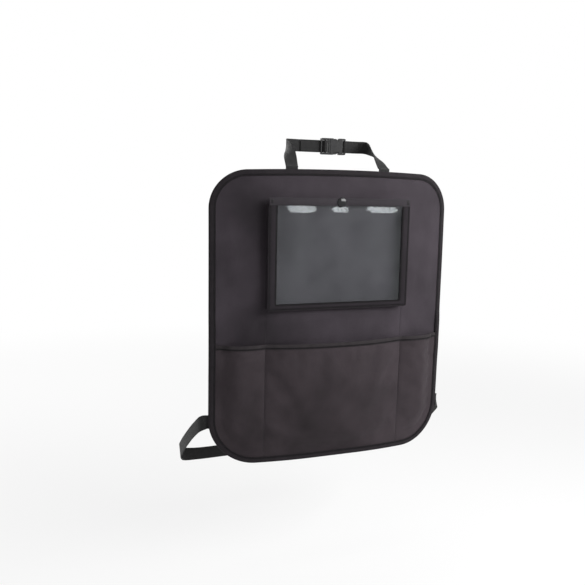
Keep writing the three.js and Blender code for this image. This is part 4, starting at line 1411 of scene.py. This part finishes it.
def make_snap():
    tiny = AXIS_RADIUS
    dimple = DIMPLE_DEPTH - WASHER_HEIGHT
    washer = [
        (tiny, dimple), (DIMPLE_FLOOR, dimple), (DIMPLE_EDGE, -WASHER_HEIGHT),
        (WASHER_RADIUS - FIT, -WASHER_HEIGHT), (WASHER_RADIUS, -WASHER_HEIGHT / 2), (WASHER_RADIUS, 0),
        (SNAP_POST_RADIUS, 0), (SNAP_POST_RADIUS, FIT + stud_rear), (tiny, FIT + stud_rear),
    ]
    turned_piece("snap_back_disc", rounded(washer, WASHER_ROUNDING), -FIT, ["snap_washer"])
    nub_top = STUD_FLANGE + NUB_HEIGHT
    stud = [
        (tiny, STUD_FLANGE), (SNAP_HOLE_RADIUS, STUD_FLANGE), (SNAP_HOLE_RADIUS, 0), (STUD_RADIUS, 0),
        (STUD_RADIUS, STUD_FLANGE), (NUB_RADIUS - FIT, STUD_FLANGE),
        (NUB_RADIUS, STUD_FLANGE + NUB_HEIGHT / 2), (NUB_RADIUS - FIT, nub_top), (tiny, nub_top),
    ]
    turned_piece("snap_post_disc", rounded(stud, SNAP_ROUNDING), stud_rear, ["snap_stud"])
    cavity = SOCKET_HEIGHT - SOCKET_FLOOR + FIT
    mouth = NUB_RADIUS + FIT
    socket = [
        (tiny, cavity), (mouth, cavity), (mouth, 0), (SOCKET_RADIUS, 0),
        (SOCKET_RADIUS, SOCKET_HEIGHT - FIT), (SOCKET_RADIUS - FIT, SOCKET_HEIGHT), (tiny, SOCKET_HEIGHT),
    ]
    turned_piece("snap_catch_ring", rounded(socket, SNAP_ROUNDING), socket_rear, ["snap_socket"])
    cap_seat = snap_stack + (frame_front + FIT + BAND_TAPE - band_rear) + FIT
    post = FIT + cap_seat - snap_stack
    dome = [
        (CAP_RADIUS * math.cos(angle), CAP_RIM + (CAP_HEIGHT - CAP_RIM) * math.sin(angle))
        for angle in np.linspace(0, math.pi / 2 - DOME_GAP, DOME_POINTS)
    ]
    cap = [
        (tiny, FIT - post), (SNAP_POST_RADIUS, FIT - post), (SNAP_POST_RADIUS, 0),
        (CAP_RADIUS - CAP_RIM, 0), (CAP_RADIUS, CAP_RIM / 2),
    ]
    turned_piece("snap_dome", [*cap, *dome], cap_seat, ["snap_cap"])


# Straps


def curve_through(keys, count):
    """Smooth curve through the keys, at count + 1 even shares."""
    keys = np.array(keys, float)
    ends = [2 * keys[0] - keys[1], *keys, 2 * keys[-1] - keys[-2]]
    places = []
    for share in np.linspace(0, 1, count + 1):
        spot = share * (len(keys) - 1)
        index = min(int(spot), len(keys) - 2)
        weight = spot - index
        p0, p1, p2, p3 = ends[index : index + 4]
        spans = ((p0, p1), (p1, p2), (p2, p3))
        dt0, dt1, dt2 = (max(TINY, math.sqrt(lengths(b - a))) for a, b in spans)
        m1 = dt1 * ((p1 - p0) / dt0 - (p2 - p0) / (dt0 + dt1) + (p2 - p1) / dt1)
        m2 = dt1 * ((p2 - p1) / dt1 - (p3 - p1) / (dt1 + dt2) + (p3 - p2) / dt2)
        c2 = -3 * p1 + 3 * p2 - 2 * m1 - m2
        c3 = 2 * p1 - 2 * p2 + m1 + m2
        places.append(p1 + weight * (m1 + weight * (c2 + weight * c3)))
    return np.array(places)


def refined(points, turns):
    """More points between the frame's, on a smooth line through them."""
    keep = [0]
    for i in range(1, len(points)):
        if lengths(points[i] - points[keep[-1]]) > POINT_GAP:
            keep.append(i)
    points, turns = points[keep], turns[keep]
    count = (len(points) - 1) * STRAP_SUBSTEPS
    shares = np.linspace(0, len(points) - 1, count + 1)
    return curve_through(points, count), between(shares, np.arange(len(points)), turns)


rung_outer = BAR * math.sqrt(0.5) + FIT + WEBBING / 2
main_lift = rung_outer + WEBBING + FIT + SLOT_CLEARANCE / 3
socket_bar = SOCKET_LENGTH + BAR_SLOT + BAR / 2
ladder_inner = STOP_FLANGE + BUCKLE_FIT + BAR_SLOT + BAR / 2
ladder_outer = ladder_inner + BAR + LADDER_SLOT


def half_turn(centre_out, high, low):
    middle, radius = (high + low) / 2, (high - low) / 2
    angles = np.linspace(math.pi / 2, -math.pi / 2, LOOP_STEPS + 1)
    return [(centre_out - radius * math.cos(angle), middle + radius * math.sin(angle)) for angle in angles]


def fixed_end():
    layer = rung_outer - WEBBING - FIT
    sewn_end = socket_bar + STITCHED_RETURN
    return [
        *((out, rung_outer) for out in stepped(sewn_end, socket_bar + BAR, STRAP_STEP)),
        *half_turn(socket_bar, rung_outer, -rung_outer),
        (socket_bar + BAR, -rung_outer),
        (socket_bar + STITCHED_RETURN / 2, layer),
        (sewn_end, layer),
    ]


def threaded_end():
    tail_end = ladder_outer + TAIL_LENGTH
    low = -rung_outer - FIT / 3
    return [
        *((out, main_lift) for out in stepped(tail_end, ladder_inner + BAR, STRAP_STEP)),
        *half_turn(ladder_inner, main_lift, low),
        (ladder_inner + BAR / 2 + FIT, low),
        (ladder_inner + BAR / 2 + LADDER_SLOT / 2, 0),
        (ladder_outer - BAR / 2 - FIT, rung_outer),
        *((out, rung_outer) for out in stepped(ladder_outer + BAR, tail_end, STRAP_STEP)),
    ]


def strap_loops(points, turns, width):
    before = np.concatenate([points[:1], points[:-1]])
    after = np.concatenate([points[1:], points[-1:]])
    along = unit(after - before)
    across = unit(turns - along * np.sum(along * turns, axis=-1, keepdims=True))
    face = np.cross(along, across)
    half, thick = width / 2, WEBBING / 2
    left = [(-half + inset, share * thick) for inset, share in WEBBING_PROFILE]
    right = [(-a, b) for a, b in left[::-1]]
    profile = [*left, (0, WEBBING_MIDDLE * thick), *right]
    section = [(a, -b) for a, b in profile] + [(-a, b) for a, b in profile]
    return [points + across * a + face * b for a, b in section]


def root_line(at):
    over_panel = -FIT - WEBBING / 2
    over_binding = over_panel - FIT - BINDING_TAPE
    line = []
    for inward in stepped(ROOT_LENGTH, -END_CLEAR, STRAP_STEP / 2):
        climbed = float(smooth(-inward, -BINDING_REACH - 2 * END_CLEAR, -BINDING_REACH - END_CLEAR / 2))
        line.append(at(inward, over_panel + (over_binding - over_panel) * climbed))
    return np.array(line)


def make_strap(name, side, root, turn, route, route_turns, buckle, threaded, width):
    flip = np.array([-side, 1, 1])
    end = np.array(threaded_end() if threaded else fixed_end())
    across, out = end.T
    end_points = joined(buckle[0] + side * across, buckle[1] + out, buckle[2])
    flat_turn = np.array([0.0, 0, 1])
    keys = [root[-1], *(np.array(route) * flip), end_points[0]]
    key_turns = [np.array(turn) * flip, *(np.array(route_turns) * flip), flat_turn]
    count = math.ceil(run_along(curve_through(keys, CURVE_POINTS))[-1] / STRAP_STEP)
    points = np.concatenate([root, curve_through(keys, count)[1:-1], end_points])
    root_turns, end_turns = np.tile(key_turns[0], (len(root), 1)), np.tile(flat_turn, (len(end), 1))
    turns = np.concatenate([root_turns, curve_through(key_turns, count)[1:-1], end_turns])
    loops = strap_loops(*refined(points, turns), width)
    loft_piece(name + "_webbing", loops, strap_webbing, replaces=[name], sharp=SHARP_WEBBING)


def box_stitches(at, start, end, half):
    """A sewn box with a cross, given as a place for each pair of inward and sideways lengths."""
    box = [(start, -half), (end, -half), (end, half), (start, half)]
    corners = [*box, box[0], box[2], box[3], box[1]]
    lines = []
    for (a0, b0), (a1, b1) in zip(corners, corners[1:]):
        shares = np.linspace(0, 1, BOX_POINTS)
        path = np.array([at(a0 + (a1 - a0) * share, b0 + (b1 - b0) * share) for share in shares])
        lines.append(stitches(path, REAR, **BOX_STITCH))
    return lines


def make_straps():
    over = -FIT - WEBBING - BOX_RISE

    def top_at(side, inward, across, lift):
        x = side * TOP_STRAP_X
        return on_panel(x + across, top_z(x, inward), lift)

    def low_at(side, inward, across, lift):
        return on_panel(side * (half_width - inward), LOWER_STRAP_Z + across, lift)

    top_turn = (1, -2 * ACROSS_BEND * (TOP_STRAP_X - FLAT_HALF_WIDTH), 0)
    low_turn = (0, -2 * UPRIGHT_BEND * (abs(LOWER_STRAP_Z) - FLAT_HALF_HEIGHT), 1)
    straps = [
        ("top_strap_", top_at, top_turn, TOP_ROUTE, TOP_TURNS, TOP_BUCKLE, TOP_WEBBING_WIDTH),
        ("lower_strap_", low_at, low_turn, LOWER_ROUTE, LOWER_TURNS, LOWER_BUCKLE, LOWER_WEBBING_WIDTH),
    ]
    lines = []
    for name, at, turn, route, turns, buckle, width in straps:
        for side, hand in ((-1, "left"), (1, "right")):
            root = root_line(lambda inward, lift: at(side, inward, 0, lift))
            make_strap(name + hand, side, root, turn, route, turns, buckle, side < 0, width)
            sewn = (ROOT_LENGTH - BOX_MARGIN, BINDING_REACH + BOX_CLEAR, width / 2 - BOX_MARGIN)
            lines += box_stitches(lambda inward, across: at(side, inward, across, over), *sewn)
    for *_, buckle, width in straps:
        middle = np.array(buckle) + (socket_bar, rung_outer + WEBBING / 2, 0)
        sewn = (STITCHED_RETURN / 2 + SEAM_END, STITCHED_RETURN - BOX_MARGIN, width / 2 - BOX_MARGIN)
        lines += box_stitches(lambda out, across: middle + (out, 0, across), *sewn)
    stitch_piece("strap_stitches", lines)


def dress_buckles():
    """The buckles keep the frame's shape, with softened edges."""
    for name in ("top_buckle_socket", "top_buckle_plug", "lower_buckle_socket", "lower_buckle_plug"):
        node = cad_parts[name]
        node.data.materials.clear()
        node.data.materials.append(buckle_resin)
        weld = node.modifiers.new("weld", "WELD")
        weld.merge_threshold = BUCKLE_WELD * MM
        flat = node.modifiers.new("flat", "DECIMATE")
        flat.decimate_type = "DISSOLVE"
        flat.angle_limit = math.radians(FLAT_BUCKLE)
        soft = node.modifiers.new("soft", "BEVEL")
        soft.width = BUCKLE_EDGE * MM
        soft.segments = BUCKLE_SEGMENTS
        soft.limit_method = "ANGLE"
        soft.angle_limit = math.radians(SHARP_BUCKLE)
        soft.harden_normals = True


# Stage


def make_stage():
    """A floor that turns white away from the object, and a white surround."""
    corners = [(-1, -1), (1, -1), (1, 1), (-1, 1)]
    floor = add_mesh("floor", [(x * FLOOR_HALF, y * FLOOR_HALF, FLOOR_Z) for x, y in corners], [range(4)])
    look = Look("floor")
    place = look.place("Object")
    distance = look.node("ShaderNodeVectorMath", {0: place}, operation="LENGTH").outputs["Value"]
    far = look.ramp(distance, SHADOW_REACH, WHITE_FROM, FLOOR_GLOW, 1.0)
    white = look.node("ShaderNodeEmission", {"Color": WHITE, "Strength": 1.0})
    look.finish(Base_Color=FLOOR_COLOUR, Roughness=0.8, Specular_IOR_Level=0.1)
    look.cover(look.mix_shader(look.calc("MULTIPLY", far, look.shown()), look.shader, white))
    floor.data.materials.append(look.material)

    world = bpy.data.worlds.new("studio")
    bpy.context.scene.world = world
    world.use_nodes = True
    world.node_tree.nodes.clear()
    nodes = Nodes(world.node_tree)
    ambient = nodes.node("ShaderNodeBackground", {"Color": WHITE, "Strength": AMBIENT})
    backdrop = nodes.node("ShaderNodeBackground", {"Color": WHITE, "Strength": 1.0})
    mixed = nodes.mix_shader(nodes.shown(), ambient, backdrop)
    nodes.node("ShaderNodeOutputWorld", {"Surface": mixed.outputs[0]})


def make_lamp(name, place, size, power):
    """A lamp that shines on the object's middle."""
    lamp = bpy.data.lights.new(name, "AREA")
    lamp.shape = "RECTANGLE"
    lamp.size, lamp.size_y = size[0] * MM, size[1] * MM
    lamp.energy = power
    piece = add_object(name, lamp)
    piece.location = Vector(place) * MM
    piece.rotation_euler = (-Vector(place)).to_track_quat("-Z", "Y").to_euler()


def make_camera():
    camera = bpy.data.cameras.new("camera")
    camera.lens = CAMERA_LENS
    camera.sensor_width = SENSOR_WIDTH
    camera.clip_start = NEAREST * MM
    piece = add_object("camera", camera)
    piece.location = Vector(CAMERA_PLACE) * MM
    piece.rotation_euler = [math.radians(angle) for angle in CAMERA_TURN]
    bpy.context.scene.camera = piece


make_camera()
panel = make_panel()
binding, binding_seams = make_binding()
pocket = make_pocket()
hem, hem_seams = make_hem()
divider_seams = make_seams()
border, border_seams, piping = make_frame()
gusset = make_gusset()
band, band_seams = make_band()
film = make_film()
make_snap()
make_straps()
dress_buckles()
make_stage()
for lamp in LAMPS:
    make_lamp(*lamp)
bpy.context.scene.view_settings.view_transform = "Standard"
